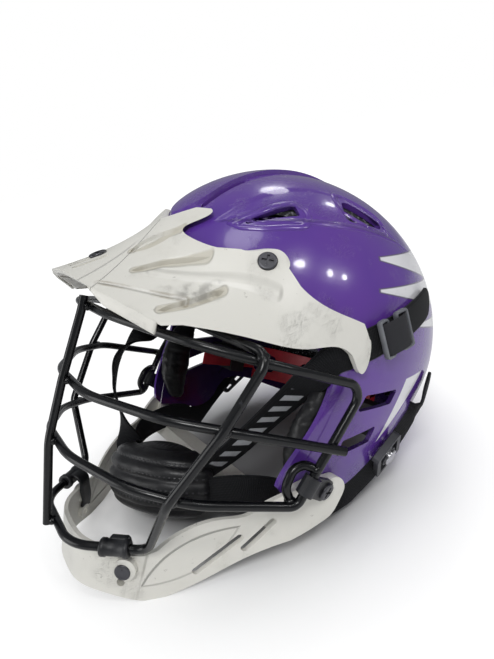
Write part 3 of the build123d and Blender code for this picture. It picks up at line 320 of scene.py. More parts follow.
def white_plastic(settings):
    """Warm white moulded plastic with handling dirt, stains and scuffs, and painted shade in the visor's
    scoops and along its lower crease.
    """
    paint = Paint("white_plastic", specular_ior_level=0.5)
    dirt = paint.noise(28, 6, 0.62).rise(0.56, 0.84)
    specks = paint.noise(260, 3, 0.6).rise(0.68, 0.76)
    stain = paint.noise(9, 4, 0.6, distortion=0.6).rise(0.62, 0.8)
    marks = scratches(paint, 50)
    base = paint.mix(stain * 0.5, tuple(settings.white_colour) + (1.0,), rgb(205, 198, 182))
    base = paint.mix(dirt * 0.35, base, rgb(188, 183, 172))
    base = paint.mix(specks * 0.5, base, rgb(120, 114, 104))
    base = paint.mix(marks * 0.45, base, rgb(150, 147, 142))
    x, y, z = paint.worn()
    side = abs(x)
    visor = z.rise(-75, -65)
    smudge = 1 - paint.near(side, y, (68, -116), (75, -103), 1.0).rise(0, 7)
    smudge = smudge * paint.noise(130, 5).rise(0.4, 0.6)
    base = paint.mix(smudge * visor * x.rise(0, 5) * 0.5, base, rgb(92, 88, 82))
    # the visor's middle channel, its lower crease and its long ridge, in plan
    channel = 1 - (side - 14 + 0.53 * (y + 131)).rise(-1.2, 1.0)
    off_crease = paint.near(side, y, CREASE_START, CREASE_END)
    crease = off_crease.rise(0.0, 1.6)
    outward = ((side - CREASE_START[0]) * 0.76 + (y - CREASE_START[1]) * 0.65 - 0.1).rise(0, 1)
    ridge = 1 - paint.near(side, y, (44, -128), (94, -74)).rise(0.2, 3.2)
    lines = 1.5 * ridge + 1.1 * crease * outward - 1.2 * channel * (1 - y.rise(-134, -122))
    recess = reduce(Signal.most, (1 - paint.near(side, y, start, end, SCOOP_HALF).rise(0.0, 1.5)
                                  for route in VISOR_SCOOPS for start, end in zip(route, route[1:])))
    # painted shade: the visor's scoops are tinted a darker beige, as if shaded
    base = paint.mix(recess * visor * 0.5, base, rgb(176, 168, 146))
    # painted shade along the visor's lower crease, broken up by noise
    crease_shade = (1 - abs(off_crease - 1.2).rise(0, 1.4)) * visor
    base = paint.mix(crease_shade * paint.noise(60, 4).rise(0.35, 0.6) * 0.6, base, rgb(150, 138, 116))
    # the chin guard's side panel stands proud of its front and has a sunken almond-shaped facet
    panel = y.rise(-105.6, -103.8)
    along = (y + 100) * 0.633 + (z + 190) * 0.773
    across = (z + 190) * 0.633 - (y + 100) * 0.773 - 1.5
    almond = 1 - (abs(across) - 9 + 9 * ((along - 28) / 33).square()).rise(-1.4, 0.4)
    facets = 1.6 * panel - 2.2 * almond
    paint.set("Base Color", base)
    paint.set("Roughness", 0.34 + 0.2 * dirt + 0.2 * marks)
    visor_height = (lines - 0.9 * recess) * visor
    paint.bump(paint.noise(190, 2) * 0.05 - marks * 0.1 + visor_height + facets * (1 - visor))
    return paint.material


def cup_cover():
    """Black padded cover of the chin cup: stitched ribs along it."""
    paint = Paint("cup_plastic")
    x, y, z = paint.worn()
    level = (z + 150) * 0.978 - (x + 3) * 0.208
    rib = abs((level * (math.pi / 8.5) + 0.6).sin())
    seam = 1 - rib.rise(0.0, 0.35)
    stitch = seam * ((x * 0.8 + y * 0.6) * (math.tau / 3.4)).sin().rise(0.2, 0.6)
    grain = paint.noise(420, 4, 0.6)
    wrinkle = paint.noise(70, 4, 0.6, distortion=0.4)
    base = paint.mix(grain, rgb(12, 12, 14), rgb(30, 30, 33))
    paint.set("Base Color", paint.mix(stitch * 0.6, base, rgb(70, 70, 74)))
    paint.set("Roughness", 0.3 + 0.2 * grain)
    paint.bump(0.35 * stitch + 0.08 * grain + 0.55 * wrinkle)
    return paint.material


def rod_coating():
    """Satin black coating on rod, a little worn."""
    paint = Paint("coated_wire", specular_ior_level=0.42)
    worn_spots = paint.noise(120, 5, 0.6).rise(0.68, 0.76)
    base = paint.mix(worn_spots * 0.4, rgb(9, 10, 13), rgb(60, 60, 66))
    paint.set("Base Color", base)
    paint.set("Roughness", 0.17 + 0.16 * paint.noise(60, 4))
    paint.bump(paint.noise(240, 3) + 0.5 * paint.noise(60, 3), 0.0003, 0.25)
    return paint.material


def moulded(name, colour, second, rough, grain=420.0, depth=0.0001):
    """Fine-grained moulded plastic with a little variation."""
    paint = Paint(name)
    cloud = paint.noise(30, 5, 0.6)
    paint.set("Base Color", paint.mix(cloud.rise(0.4, 0.75), colour, second))
    paint.set("Roughness", rough + 0.16 * (cloud - 0.5) + 0.1 * paint.noise(200, 3))
    paint.bump(paint.noise(grain, 3, 0.6), depth, 0.6)
    return paint.material


def metal(name, colour, second, rough):
    """Turned and plated steel with fine wear."""
    paint = Paint(name)
    wear = paint.noise(160, 5, 0.65).rise(0.55, 0.75)
    paint.set("Metallic", 1.0 - 0.4 * wear)
    paint.set("Base Color", paint.mix(wear, colour, second))
    paint.set("Roughness", rough + 0.25 * wear)
    paint.bump(paint.noise(500, 2), 0.00005, 0.5)
    return paint.material


def bead_foam():
    """Black expanded foam: tight beads with pale specks."""
    paint = Paint("liner_foam")
    beads = paint.cells(620)
    tint = paint.cells(620, output="Color")
    specks = paint.axis("X", tint).rise(0.62, 0.8)
    base = paint.mix(specks * 0.8, rgb(40, 40, 44), rgb(168, 168, 172))
    paint.set("Base Color", paint.mix(beads.rise(0.0, 0.9), base, rgb(16, 16, 18)))
    paint.set("Roughness", 0.75 + 0.1 * beads)
    paint.bump(1 - beads, 0.0006, 0.7)
    return paint.material


def knit(name, colour, second, pitch=900.0, sheen=0.4):
    """Knitted or woven cloth: crossing ribs, fuzz and soft shading."""
    paint = Paint(name, sheen_weight=sheen, roughness=0.9)
    x, y, z = (paint.axis(letter) for letter in "XYZ")
    ribs = ((x + y * 0.6) * pitch * 2).sin() * ((z - y * 0.4) * pitch * 2).sin()
    fuzz = paint.noise(700, 4, 0.7)
    cloud = paint.noise(25, 3)
    base = paint.mix((ribs * 0.5 + 0.5) * 0.6 + fuzz * 0.4, second, colour)
    paint.set("Base Color", paint.mix(cloud.rise(0.45, 0.8) * 0.35, base, second))
    paint.set("Roughness", 0.82 + 0.12 * fuzz)
    paint.bump(ribs * 0.5 + fuzz * 0.6, 0.0004, 0.6)
    return paint.material


def webbing_weave(name, printed):
    """Black webbing along the strap's own coordinates: ribs, a flat edge, and slanted bars if printed."""
    paint = Paint(name, roughness=0.7, sheen_weight=0.03, specular_ior_level=0.22)
    run = paint.node("ShaderNodeTexCoord", output="UV")
    across = paint.axis("X", run)
    along = paint.axis("Y", run)
    ribs = (along * (math.tau / 0.0012)).sin()
    warp = (across * (math.tau / 0.0016)).sin()
    edge = abs(across).rise(0.0083, 0.0088)
    weave = (ribs * 0.6 + warp * ribs * 0.4) * (1 - edge) + warp * edge
    fuzz = paint.noise(900, 3, 0.7)
    base = paint.mix(weave * 0.35 + fuzz * 0.5, rgb(8, 9, 11), rgb(32, 33, 38))
    if printed:
        slant = along + across * 0.5
        bars = (slant * (math.tau / 0.013)).sin().rise(0.05, 0.2) * (1 - abs(across).rise(0.0051, 0.0055))
        bars = bars * along.band(0.014, 0.102, 0.001) * (0.75 + 0.4 * fuzz).least(1)
        base = paint.mix(bars, base, rgb(196, 198, 202))
    paint.set("Base Color", base)
    paint.set("Roughness", 0.72 + 0.16 * fuzz)
    paint.bump(weave * 0.5 + fuzz * 0.3, 0.0005, 0.8)
    return paint.material


class HelmetSizes(bpy.types.PropertyGroup):
    """Sizes and colours of the dressing."""

    shell_colour: bpy.props.FloatVectorProperty(
        name="Shell colour", description="The shell's purple",
        subtype="COLOR", size=3, default=rgb(94, 54, 150)[:3], min=0, max=1)
    white_colour: bpy.props.FloatVectorProperty(
        name="White plastic", description="Colour of the visor and the chin guard",
        subtype="COLOR", size=3, default=rgb(224, 222, 214)[:3], min=0, max=1)
    strap_width: bpy.props.FloatProperty(
        name="Strap width", description="Width of the webbing",
        default=0.020, unit="LENGTH", min=0.01)
    strap_thickness: bpy.props.FloatProperty(
        name="Strap thickness", description="Thickness of the webbing",
        default=0.0018, unit="LENGTH", min=0.0005)
    pad_swell: bpy.props.FloatProperty(
        name="Pad swell", description="How far a pad's cover may swell",
        default=0.0022, unit="LENGTH", min=0)
    weld_radius: bpy.props.FloatProperty(
        name="Weld size", description="Radius of a weld bead on the mask",
        default=0.0024, unit="LENGTH", min=0)


def coat(material, *names):
    """Gives CAD nodes a material in every slot."""
    for name in names:
        data = NODES[name].data
        data.materials.clear()
        data.materials.append(material)


def dressed(made, material, slot, *nodes, body=ROOT):
    """An object with its material and smooth faces, on its body, for CAD nodes if any; its slot is not used.
    """
    made.data.materials.clear()
    made.data.materials.append(material)
    for face in made.data.polygons:
        face.use_smooth = True
    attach(made, body)
    if nodes:
        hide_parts(*nodes)
    return made


def piece(name, mesh, material, slot, *nodes, body=ROOT):
    """A new object that rides on a body and may stand for CAD nodes."""
    made = bpy.data.objects.new(name, mesh)
    bpy.context.scene.collection.objects.link(made)
    return dressed(made, material, slot, *nodes, body=body)


def both(stem):
    """The left and the right name of a paired node."""
    return stem + "_left", stem + "_right"


class HELMET_OT_hard_parts(bpy.types.Operator):
    """Finish the shell, the white plastic, the mask, the foam and the fittings"""

    bl_idname = "helmet.hard_parts"
    bl_label = "Finish hard parts"

    def execute(self, context):
        settings = context.scene.helmet_sizes
        coat(shell_paint(settings), "shell")
        coat(white_plastic(settings), "visor", "chin_guard")
        mask = [name for name in NODES if name.startswith("mask_")]
        coat(rod_coating(), *mask)
        coat(moulded("clip_plastic", rgb(19, 20, 23), rgb(38, 39, 43), 0.38), "visor_front_clip",
             *both("side_clip"), *both("chin_clip"))
        coat(metal("screw_steel", rgb(88, 88, 92), rgb(48, 46, 46), 0.35), "visor_front_screw",
             *both("side_screw"), *both("chin_screw"), *both("visor_screw"), *both("visor_nut"))
        coat(bead_foam(), "liner_crown", "liner_front", "liner_rear", *both("liner_side"))
        coat(moulded("cradle_plastic", rgb(206, 26, 48), rgb(168, 18, 38), 0.35), "retention_cradle")
        coat(moulded("bracket_plastic", rgb(30, 30, 33), rgb(50, 50, 54), 0.5), *both("cradle_bracket"))
        coat(moulded("buckle_plastic", rgb(126, 128, 132), rgb(98, 100, 106), 0.4), *both("upper_buckle"))
        coat(moulded("dark_buckle_plastic", rgb(44, 45, 48), rgb(66, 67, 71), 0.4), *both("lower_buckle"))
        coat(metal("stud_steel", rgb(196, 196, 200), rgb(130, 126, 120), 0.25), *both("upper_stud"),
             *both("lower_stud"))
        coat(cup_cover(), "chin_cup")
        return {"FINISHED"}


def between(before, here, there, after, share):
    """A value on the smooth curve from here to there, where share is 0 to 1."""
    return 0.5 * (2 * here + (there - before) * share
                  + (2 * before - 5 * here + 4 * there - after) * share**2
                  + (3 * here - before - 3 * there + after) * share**3)


def spread(stations, spacing):
    """Smooth stations, each a place and a direction, evenly through the given ones."""
    places = [Vector(place) for place, side in stations]
    sides = [Vector(side).normalized() for place, side in stations]
    result = []
    last = len(places) - 1
    for step in range(last):
        picks = (max(0, step - 1), step, step + 1, min(last, step + 2))
        count = max(1, round((places[step + 1] - places[step]).length / spacing))
        for share in (index / count for index in range(count)):
            place, side = (between(*(values[pick] for pick in picks), share) for values in (places, sides))
            result.append((place, side.normalized()))
    result.append((places[-1], sides[-1]))
    return result


# Webbing, in metres: the spacing of its rows and its soft edge, and how narrow its rounded tip ends
RIBBON_SPACING = 0.003
RIBBON_EDGE = 0.0007
RIBBON_TIP_SHARE = 0.35


def ribbon(name, stations, width, thickness, tail=0.0):
    """Flat webbing with soft edges through stations; its far end is rounded over the length tail."""
    smooth = spread(stations, RIBBON_SPACING)
    mesh = bpy.data.meshes.new(name)
    made = bmesh.new()
    layer = made.loops.layers.uv.new("run")
    half = width / 2
    edge = half - RIBBON_EDGE
    under = [(-half, -0.3), (-edge, -0.5), (-half / 2, -0.5), (0, -0.5), (half / 2, -0.5), (edge, -0.5),
             (half, -0.3)]
    profile = under + [(across, -rise) for across, rise in reversed(under)]
    total = sum((b[0] - a[0]).length for a, b in zip(smooth, smooth[1:]))
    rings = []
    runs = []
    length = 0.0
    for index, (place, side) in enumerate(smooth):
        if index:
            length += (place - smooth[index - 1][0]).length
        travel = smooth[min(index + 1, len(smooth) - 1)][0] - smooth[max(index - 1, 0)][0]
        normal = travel.cross(side).normalized()
        across = normal.cross(travel).normalized()
        left = total - length
        shrink = 1.0
        if tail and left < tail:
            shrink = max(RIBBON_TIP_SHARE, math.sqrt(max(0.0, 1 - (1 - left / tail) ** 2)))
        ring = [made.verts.new(place + across * (a * shrink) + normal * (t * thickness)) for a, t in profile]
        rings.append(ring)
        runs.append((length, shrink))
    for index, (first, second) in enumerate(zip(rings, rings[1:])):
        for step in range(len(profile)):
            following = (step + 1) % len(profile)
            face = made.faces.new((first[step], first[following], second[following], second[step]))
            corners = ((index, step), (index, following), (index + 1, following), (index + 1, step))
            for loop, (row, column) in zip(face.loops, corners):
                loop[layer].uv = (profile[column][0] * runs[row][1], runs[row][0])
    made.faces.new(list(reversed(rings[0])))
    made.faces.new(rings[-1])
    bmesh.ops.recalc_face_normals(made, faces=made.faces)
    made.to_mesh(mesh)
    made.free()
    return mesh


# How far to the side the rays start that feel the shell, in millimetres
RAY_START = 200
# Places along a strap that lies on the shell, and in metres the depth of the webbing's middle and the least
# distance from the helmet's middle plane
LAID_COUNT = 9
WEBBING_MIDDLE = 0.0009
LAID_NEAREST = 0.05


def surface(node):
    """A CAD node's faces, for rays."""
    return BVHTree.FromObject(NODES[node], bpy.context.evaluated_depsgraph_get())


def from_side(tree, side, y, z):
    """Where a ray from the side meets a surface at a side-view place, and the way that it faces there."""
    hit, normal, face, distance = tree.ray_cast(worn((side * RAY_START, y, z)), Vector((-side, 0, 0)))
    return hit, normal


def laid_stations(node, start, end, side):
    """Stations on a CAD strap where it lies on the shell, from one side-view place to another."""
    tree = surface(node)
    direction = Vector((0, end[0] - start[0], end[1] - start[1])).normalized()
    across = turned((0, -direction.z, direction.y))
    stations = []
    for step in range(LAID_COUNT):
        share = step / (LAID_COUNT - 1)
        y, z = (a + share * (b - a) for a, b in zip(start, end))
        hit, normal = from_side(tree, side, y, z)
        if hit and hit.x * side > LAID_NEAREST:
            stations.append((hit - Vector((side * WEBBING_MIDDLE, 0, 0)), across))
    return stations


# The webbing's width directions at its listed places, its run on the shell and its loose end
UPPER_ACROSS = [(0.1, -0.9, 0.3), (0, -0.93, 0.28), (0, -0.95, 0.3), (0, -0.9, 0.45), (0, -0.7, 0.7)]
FAR_ACROSS = [(-0.3, -0.9, 0.3), (-0.76, 0.38, -0.48), (-0.8, 0.4, -0.35), (-0.75, 0.5, -0.1),
              (0, -0.7, 0.7)]
LOWER_ACROSS = [(0, -0.15, 0.98), (0, -0.15, 0.98), (0, -0.2, 0.97), (0, -0.35, 0.93), (0, -0.6, 0.8)]
UPPER_LAID = ((-38, -32.8), (50, 13.9))
LOWER_LAID = ((7, -125), (55, -65.3))
LOOSE_TAIL = [(103.0, 60, -60), (101.5, 64, -49), (100, 67, -37)]
TAIL_ACROSS = (0.5, -0.85, 0.15)
TAIL_ROUND = 0.009
STRAPS = {
    "upper_strap_left": ([(30, -61, -135), (47, -51, -112), (66, -43, -84), (90, -42, -57),
                          (103.5, -43, -44.5)], UPPER_ACROSS, UPPER_LAID, 1, ()),
    "upper_strap_right": ([(-40, -82, -146), (-56, -90, -119), (-73, -93, -100), (-91, -84, -77),
                           (-104.5, -47, -46.5)], FAR_ACROSS, UPPER_LAID, -1, ()),
    "lower_strap_left": ([(34, -60, -147), (68, -51, -129), (78, -34, -127.5), (85, -18, -130.5),
                          (89.6, -5, -135)], LOWER_ACROSS, LOWER_LAID, 1, LOOSE_TAIL),
    "lower_strap_right": ([(-38, -82, -160), (-66, -66, -140), (-77.5, -38, -129), (-84.5, -18, -130),
                           (-89.6, -5, -135)], LOWER_ACROSS, LOWER_LAID, -1, LOOSE_TAIL),
}


class HELMET_OT_straps(bpy.types.Operator):
    """Weave the chin straps"""

    bl_idname = "helmet.straps"
    bl_label = "Weave straps"

    def execute(self, context):
        settings = context.scene.helmet_sizes
        plain = webbing_weave("webbing", False)
        printed = webbing_weave("webbing_printed", True)
        for node, (path, across, laid, side, tail) in STRAPS.items():
            stations = [(worn(place), turned(way)) for place, way in zip(path, across)]
            stations += laid_stations(node, *laid, side)
            tail_across = turned(mirrored(TAIL_ACROSS, side))
            stations += [(worn(mirrored(place, side)), tail_across) for place in tail]
            width, thickness = settings.strap_width, settings.strap_thickness
            mesh = ribbon(node + "_webbing", stations, width, thickness, TAIL_ROUND)
            piece(node + "_webbing", mesh, printed if node == "upper_strap_left" else plain, "webbing", node)
        return {"FINISHED"}


# A pad's cover: its voxels and how far it is drawn in, in metres, then the smoothing and the cloth's values
PAD_VOXEL = 0.0035
PAD_DRAWN_IN = 0.0016
PAD_SMOOTHINGS = 4
PAD_SMOOTH_SHARE = 0.6
PAD_FRAMES = 14
PAD_PRESSURE = 4.0
PAD_STIFFNESS = 12


def swollen(name, node, swell):
    """A pad's cover: the CAD solid drawn in, remeshed, then blown up as cloth within a limit."""
    mesh = NODES[node].data.copy()
    made = bpy.data.objects.new(name, mesh)
    scene = bpy.context.scene
    scene.collection.objects.link(made)
    bpy.context.view_layer.objects.active = made
    remesh = made.modifiers.new("Remesh", "REMESH")
    remesh.mode = "VOXEL"
    remesh.voxel_size = PAD_VOXEL
    smooth = made.modifiers.new("Soften", "SMOOTH")
    smooth.iterations = PAD_SMOOTHINGS
    smooth.factor = PAD_SMOOTH_SHARE
    draw = made.modifiers.new("Draw in", "DISPLACE")
    draw.strength = -PAD_DRAWN_IN
    draw.mid_level = 0
    graph = bpy.context.evaluated_depsgraph_get()
    start = bpy.data.meshes.new_from_object(made.evaluated_get(graph))
    made.modifiers.clear()
    made.data = start
    rest = [vertex.co.copy() for vertex in start.vertices]
    cloth = made.modifiers.new("Cloth", "CLOTH")
    cloth.settings.use_pressure = True
    cloth.settings.uniform_pressure_force = PAD_PRESSURE
    cloth.settings.tension_stiffness = PAD_STIFFNESS
    cloth.settings.compression_stiffness = PAD_STIFFNESS
    cloth.settings.effector_weights.gravity = 0
    cloth.point_cache.frame_start = 1
    cloth.point_cache.frame_end = PAD_FRAMES
    for number in range(1, PAD_FRAMES + 1):
        scene.frame_set(number)
    graph = bpy.context.evaluated_depsgraph_get()
    blown = [vertex.co.copy() for vertex in made.evaluated_get(graph).data.vertices]
    made.modifiers.clear()
    scene.frame_set(1)
    for vertex, before, after in zip(start.vertices, rest, blown):
        step = after - before
        if step.length > swell:
            step = step.normalized() * swell
        vertex.co = before + step
    subdivide = made.modifiers.new("Soft", "SUBSURF")
    subdivide.levels = 1
    subdivide.render_levels = 1
    return made


class HELMET_OT_pads(bpy.types.Operator):
    """Fill the comfort pads and the chin cup's lining"""

    bl_idname = "helmet.pads"
    bl_label = "Fill pads"

    def execute(self, context):
        settings = context.scene.helmet_sizes
        grey = knit("comfort_cloth", rgb(118, 122, 130), rgb(74, 77, 84))
        lining = knit("cup_lining", rgb(34, 34, 38), rgb(16, 16, 18), 1100.0, 0.2)
        nodes = ["brow_pad", "nape_pad", "crown_pad", *both("side_pad")]
        covers = [(node, grey, "comfort_cloth") for node in nodes] + [("chin_cup_pad", lining, "cup_lining")]
        for node, material, slot in covers:
            made = dressed(swollen(node + "_cover", node, settings.pad_swell), material, slot, node)
        return {"FINISHED"}


def grid_mesh(name, rows, closed_along=False, closed_across=False, caps=False):
    """A mesh through rows of places: quads between neighbours, and flat caps on the first and last row."""
    made = bmesh.new()
    lines = [[made.verts.new(place) for place in row] for row in rows]
    following = lines[1:] + ([lines[0]] if closed_along else [])
    for first, second in zip(lines, following):
        count = len(first)
        for step in range(count if closed_across else count - 1):
            other = (step + 1) % count
            made.faces.new((first[step], first[other], second[other], second[step]))
    if caps:
        made.faces.new(list(reversed(lines[0])))
        made.faces.new(lines[-1])
    bmesh.ops.remove_doubles(made, verts=made.verts, dist=MERGE)
    bmesh.ops.recalc_face_normals(made, faces=made.faces)
    mesh = bpy.data.meshes.new(name)
    made.to_mesh(mesh)
    made.free()
    return mesh


LATHE_STEPS = 40


def lathe(name, middle, axis, profile):
    """A turned piece: profile holds closed (distance along the axis, radius) places in millimetres."""
    side = axis.orthogonal().normalized()
    other = axis.cross(side)
    rows = []
    for step in range(LATHE_STEPS):
        angle = math.tau * step / LATHE_STEPS
        spoke = side * math.cos(angle) + other * math.sin(angle)
        rows.append([middle + (axis * along + spoke * radius) * MM for along, radius in profile])
    return grid_mesh(name, rows, closed_along=True, closed_across=True)


def smooth_path(places, spacing, closed=False):
    """Places evenly along a smooth curve through the given ones."""
    result = []
    count = len(places)
    for step in range(count if closed else count - 1):
        picks = range(step - 1, step + 3)
        picks = [pick % count if closed else min(max(pick, 0), count - 1) for pick in picks]
        stops = [Vector(places[pick]) for pick in picks]
        parts = max(1, round((stops[2] - stops[1]).length / spacing))
        result += [between(*stops, index / parts) for index in range(parts)]
    return result if closed else result + [Vector(places[-1])]


# Low mouldings on the shell's sides, in side view: the line under the vents and the lips round the vents
SIDE_LINE = [(-88, 34), (-73, 38), (-55, 42), (-35, 44.6), (-12, 46.4), (12, 45.8), (30, 43.5), (46, 40)]
FRONT_LIP = [(-85.5, 32.6), (-70, 44.0), (-58, 51.0), (-49, 53.0), (-46.5, 47.5), (-51, 39.8), (-62, 36.5),
             (-75, 33)]
REAR_LIP = [(-17.5, 67.5), (-4, 65.5), (9.5, 60.5), (13.5, 54), (10, 47.8), (-5, 48.3), (-20, 50.5),
            (-22, 58)]
# Each moulding's name, places, half width and height, and whether it closes on itself
MOULDINGS = (("side_line", SIDE_LINE, 2.6, 0.9, False), ("front_lip", FRONT_LIP, 2.2, 1.0, True),
             ("rear_lip", REAR_LIP, 2.4, 0.9, True))
# The spacing of a moulding's rows in millimetres, where its ends stop fading, its section in shares across
# and outwards, and its least distance from the helmet's middle plane in metres
MOULDING_SPACING = 2.5
MOULDING_END_SHARE = 0.04
MOULDING_SHARES = [(-1.0, -0.4), (-0.62, 0.45), (-0.25, 0.92), (0.25, 0.92), (0.62, 0.45), (1.0, -0.4)]
MOULDING_NEAREST = 0.02


def moulding(name, places, half, height, side, closed):
    """A low rounded moulding that follows the shell's side along side-view places."""
    tree = surface("shell")
    path = smooth_path(places, MOULDING_SPACING, closed)
    rows = []
    last = len(path) - 1
    for index, place in enumerate(path):
        ahead = path[(index + 1) % len(path)] if closed else path[min(index + 1, last)]
        behind = path[index - 1] if closed or index else path[0]
        travel = (ahead - behind).normalized()
        fade = 1.0 if closed else math.sin(math.pi * max(MOULDING_END_SHARE, index / last)) ** 0.6
        row = []
        for across, rise in MOULDING_SHARES:
            y = place.x - travel.y * across * half * fade
            z = place.y + travel.x * across * half * fade
            hit, normal = from_side(tree, side, y, z)
            if hit is None or hit.x * side < MOULDING_NEAREST:
                row = None
                break
            row.append(hit + normal * (rise * height * fade * MM))
        if row:
            rows.append(row)
    return grid_mesh(name, rows, closed_along=closed, closed_across=True, caps=not closed)


class HELMET_OT_mouldings(bpy.types.Operator):
    """Raise the mouldings on the shell's sides"""

    bl_idname = "helmet.mouldings"
    bl_label = "Raise mouldings"

    def execute(self, context):
        purple = NODES["shell"].data.materials[0]
        for side, word in SIDES:
            for stem, places, half, height, closed in MOULDINGS:
                name = f"{stem}_{word}"
                mesh = moulding(name, places, half, height, side, closed)
                piece(name, mesh, purple, "shell_gloss")
        return {"FINISHED"}


# The chin cup's place, turns and half sizes, as in the frame, and the power of its rounded section
CUP_CENTRE = (-3, -71, -150)
CUP_TURN = math.radians(17)
CUP_ROLL = math.radians(-12)
CUP_HALF = (46, 27, 25)
CUP_POWER = 2.7
# Its padded cover: rows, half its reach round the cup, its share of the height and its ribs, then how far it
# stands off the cup at its edge, in its seams, on its ribs, in its waves and inside, in millimetres
COVER_LEVELS = 44
COVER_STEPS = 72
COVER_REACH = math.radians(96)
COVER_TALL_SHARE = 0.9
COVER_RIBS = 5
COVER_EDGE = 0.5
COVER_SEAM = 0.6
COVER_PUFF = 2.6
COVER_WAVE = 0.7
COVER_INSIDE = 0.1


def cup_place(local):
    """A place of the chin cup's own frame, in the row frame."""
    turn = Matrix.Rotation(CUP_ROLL, 3, "Y") @ Matrix.Rotation(CUP_TURN, 3, "Z")
    return worn(turn @ Vector(local) + Vector(CUP_CENTRE))


def cover_mesh(name):
    """Quilted band round the front of the chin cup: ribs along it, puffed between their seams."""
    rows = []
    width, reach, tall = CUP_HALF
    for step in range(COVER_STEPS + 1):
        angle = COVER_REACH * (2 * step / COVER_STEPS - 1)
        end = math.sin(math.pi * (step / COVER_STEPS)) ** 0.25
        outer = []
        inner = []
        for index in range(COVER_LEVELS + 1):
            share = index / COVER_LEVELS
            level = tall * COVER_TALL_SHARE * (2 * share - 1)
            ring = (1 - abs(level / tall) ** CUP_POWER) ** (1 / CUP_POWER)
            puff = abs(math.sin(math.pi * COVER_RIBS * share)) ** 0.6
            edge = min(1, 6 * min(share, 1 - share)) * end
            wave = noise.noise(Vector((angle * 4, level * 0.12, 3)))
            lift = COVER_EDGE + (COVER_SEAM + COVER_PUFF * puff + COVER_WAVE * wave) * edge
            for grow, row in ((lift, outer), (COVER_INSIDE, inner)):
                x = (width + grow) * ring * math.sin(angle)
                y = -(reach + grow) * ring * math.cos(angle)
                row.append(cup_place((x, y, level + grow * level / tall)))
        rows.append(outer + inner[::-1])
    return grid_mesh(name, rows, closed_across=True, caps=True)


# The upper buckle's rise to the back, and the way it faces on the wearer's left
BUCKLE_RISE = math.radians(28)
BUCKLE_OUTWARD = (0.99, 0.06, 0.13)
# The webbing's turn over it: places along the strap and outwards, and its size in metres
STRAP_TURN = ((-10.5, 0.2), (-9.6, 2.6), (-7.0, 4.2), (0, 4.9), (7.0, 4.2), (9.6, 2.6), (10.5, 0.2))
TURN_WIDTH = 0.0195
TURN_THICKNESS = 0.0016


def upper_buckle(side, word):
    """The upper buckle's middle, and its directions along the strap, across it and outwards."""
    low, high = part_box(f"upper_buckle_{word}")
    out = mirrored(BUCKLE_OUTWARD, side).normalized()
    run = turned((0, math.cos(BUCKLE_RISE), math.sin(BUCKLE_RISE)))
    run = (run - out * run.dot(out)).normalized()
    return (Vector(low) + Vector(high)) / 2, run, out.cross(run), out


def turn_mesh(name, side, word):
    """The webbing's turn over the upper buckle's middle, between its end bars."""
    middle, run, across, out = upper_buckle(side, word)
    stations = [(middle + run * along * MM + out * height * MM, across) for along, height in STRAP_TURN]
    return ribbon(name, stations, TURN_WIDTH, TURN_THICKNESS)


# The left chin clip on the mask's rod, the rod's direction, and the flat screw below it
CHIN_CLIP = (49.8, -122.5, -167.6)
CHIN_CLIP_ALONG = (33.0, 36.3, 9.0)
CHIN_SCREW = (48.9, -113.5, -183.9)
CHIN_OUTWARD = (0.68, -0.72, 0.1)
# The clip's sleeve and the screw's disc, turned: places along the axis and off it
SLEEVE = ((-9, 2.8), (-9, 4.9), (-8.4, 5.5), (-5.8, 5.5), (-5.2, 4.8), (5.2, 4.8), (5.8, 5.5), (8.4, 5.5),
          (9, 4.9), (9, 2.8))
DISC = ((-1.2, 0.001), (-1.2, 4.9), (0.3, 5.1), (0.8, 4.7), (0.95, 3.9), (0.75, 3.4), (0.9, 1.2),
        (0.9, 0.001))
# The disc's seat is felt by rays on a ring round the screw's hole: its radius, where they start and how much
# deeper than the nearest they may end, in metres, and how squarely they have to meet the guard
SCREW_RING = 0.0041
SCREW_RAYS = 8
SCREW_START = 0.03
SCREW_DEPTH = 0.004
SCREW_FACING = 0.6
# The clip's tab, in metres: its size, its depth behind the guard's face, its least depth behind the rod, its
# start behind the rod's middle, its rise over the rod and where it turns down, and its end below the screw
TAB_WIDTH = 0.011
TAB_THICKNESS = 0.0022
TAB_DEPTH = 0.0085
TAB_CLEAR = 0.004
TAB_START = 0.002
TAB_RISE = 0.0035
TAB_BEND = 0.0005
TAB_DROP = 0.006

# The upper buckle's two frames: end, shift along the strap and half sizes, then their lift, bar and height,
# their bar's section in shares inwards and outwards, and the share of the bar that rounds their corners
BUCKLE_FRAMES = (("front", -8.6, (3.9, 12.0)), ("rear", 7.6, (5.4, 12.2)))
FRAME_LIFT = 1.6
FRAME_BAR = 1.7
FRAME_HEIGHT = 3.4
FRAME_SHARES = ((0, -0.35), (0, 0.35), (0.2, 0.5), (0.8, 0.5), (1, 0.35), (1, -0.35), (0.8, -0.5),
                (0.2, -0.5))
CORNER_SHARE = 1.3
CORNER_STEPS = 4


def frame_rows(middle, run, across, out, half):
    """Rows of a rounded rectangular ring; half holds its half sizes along run and across."""
    corner = FRAME_BAR * CORNER_SHARE
    rows = []
    for quarter in range(4):
        ahead = (half[0] - corner) * (1, -1, -1, 1)[quarter]
        aside = (half[1] - corner) * (1, 1, -1, -1)[quarter]
        for step in range(CORNER_STEPS + 1):
            angle = math.radians(90 * quarter + 90 / CORNER_STEPS * step)
            row = []
            for inset, rise in FRAME_SHARES:
                reach = corner - inset * FRAME_BAR
                place = run * (ahead + math.cos(angle) * reach) + across * (aside + math.sin(angle) * reach)
                row.append(middle + (place + out * (rise * FRAME_HEIGHT)) * MM)
            rows.append(row)
    return rows


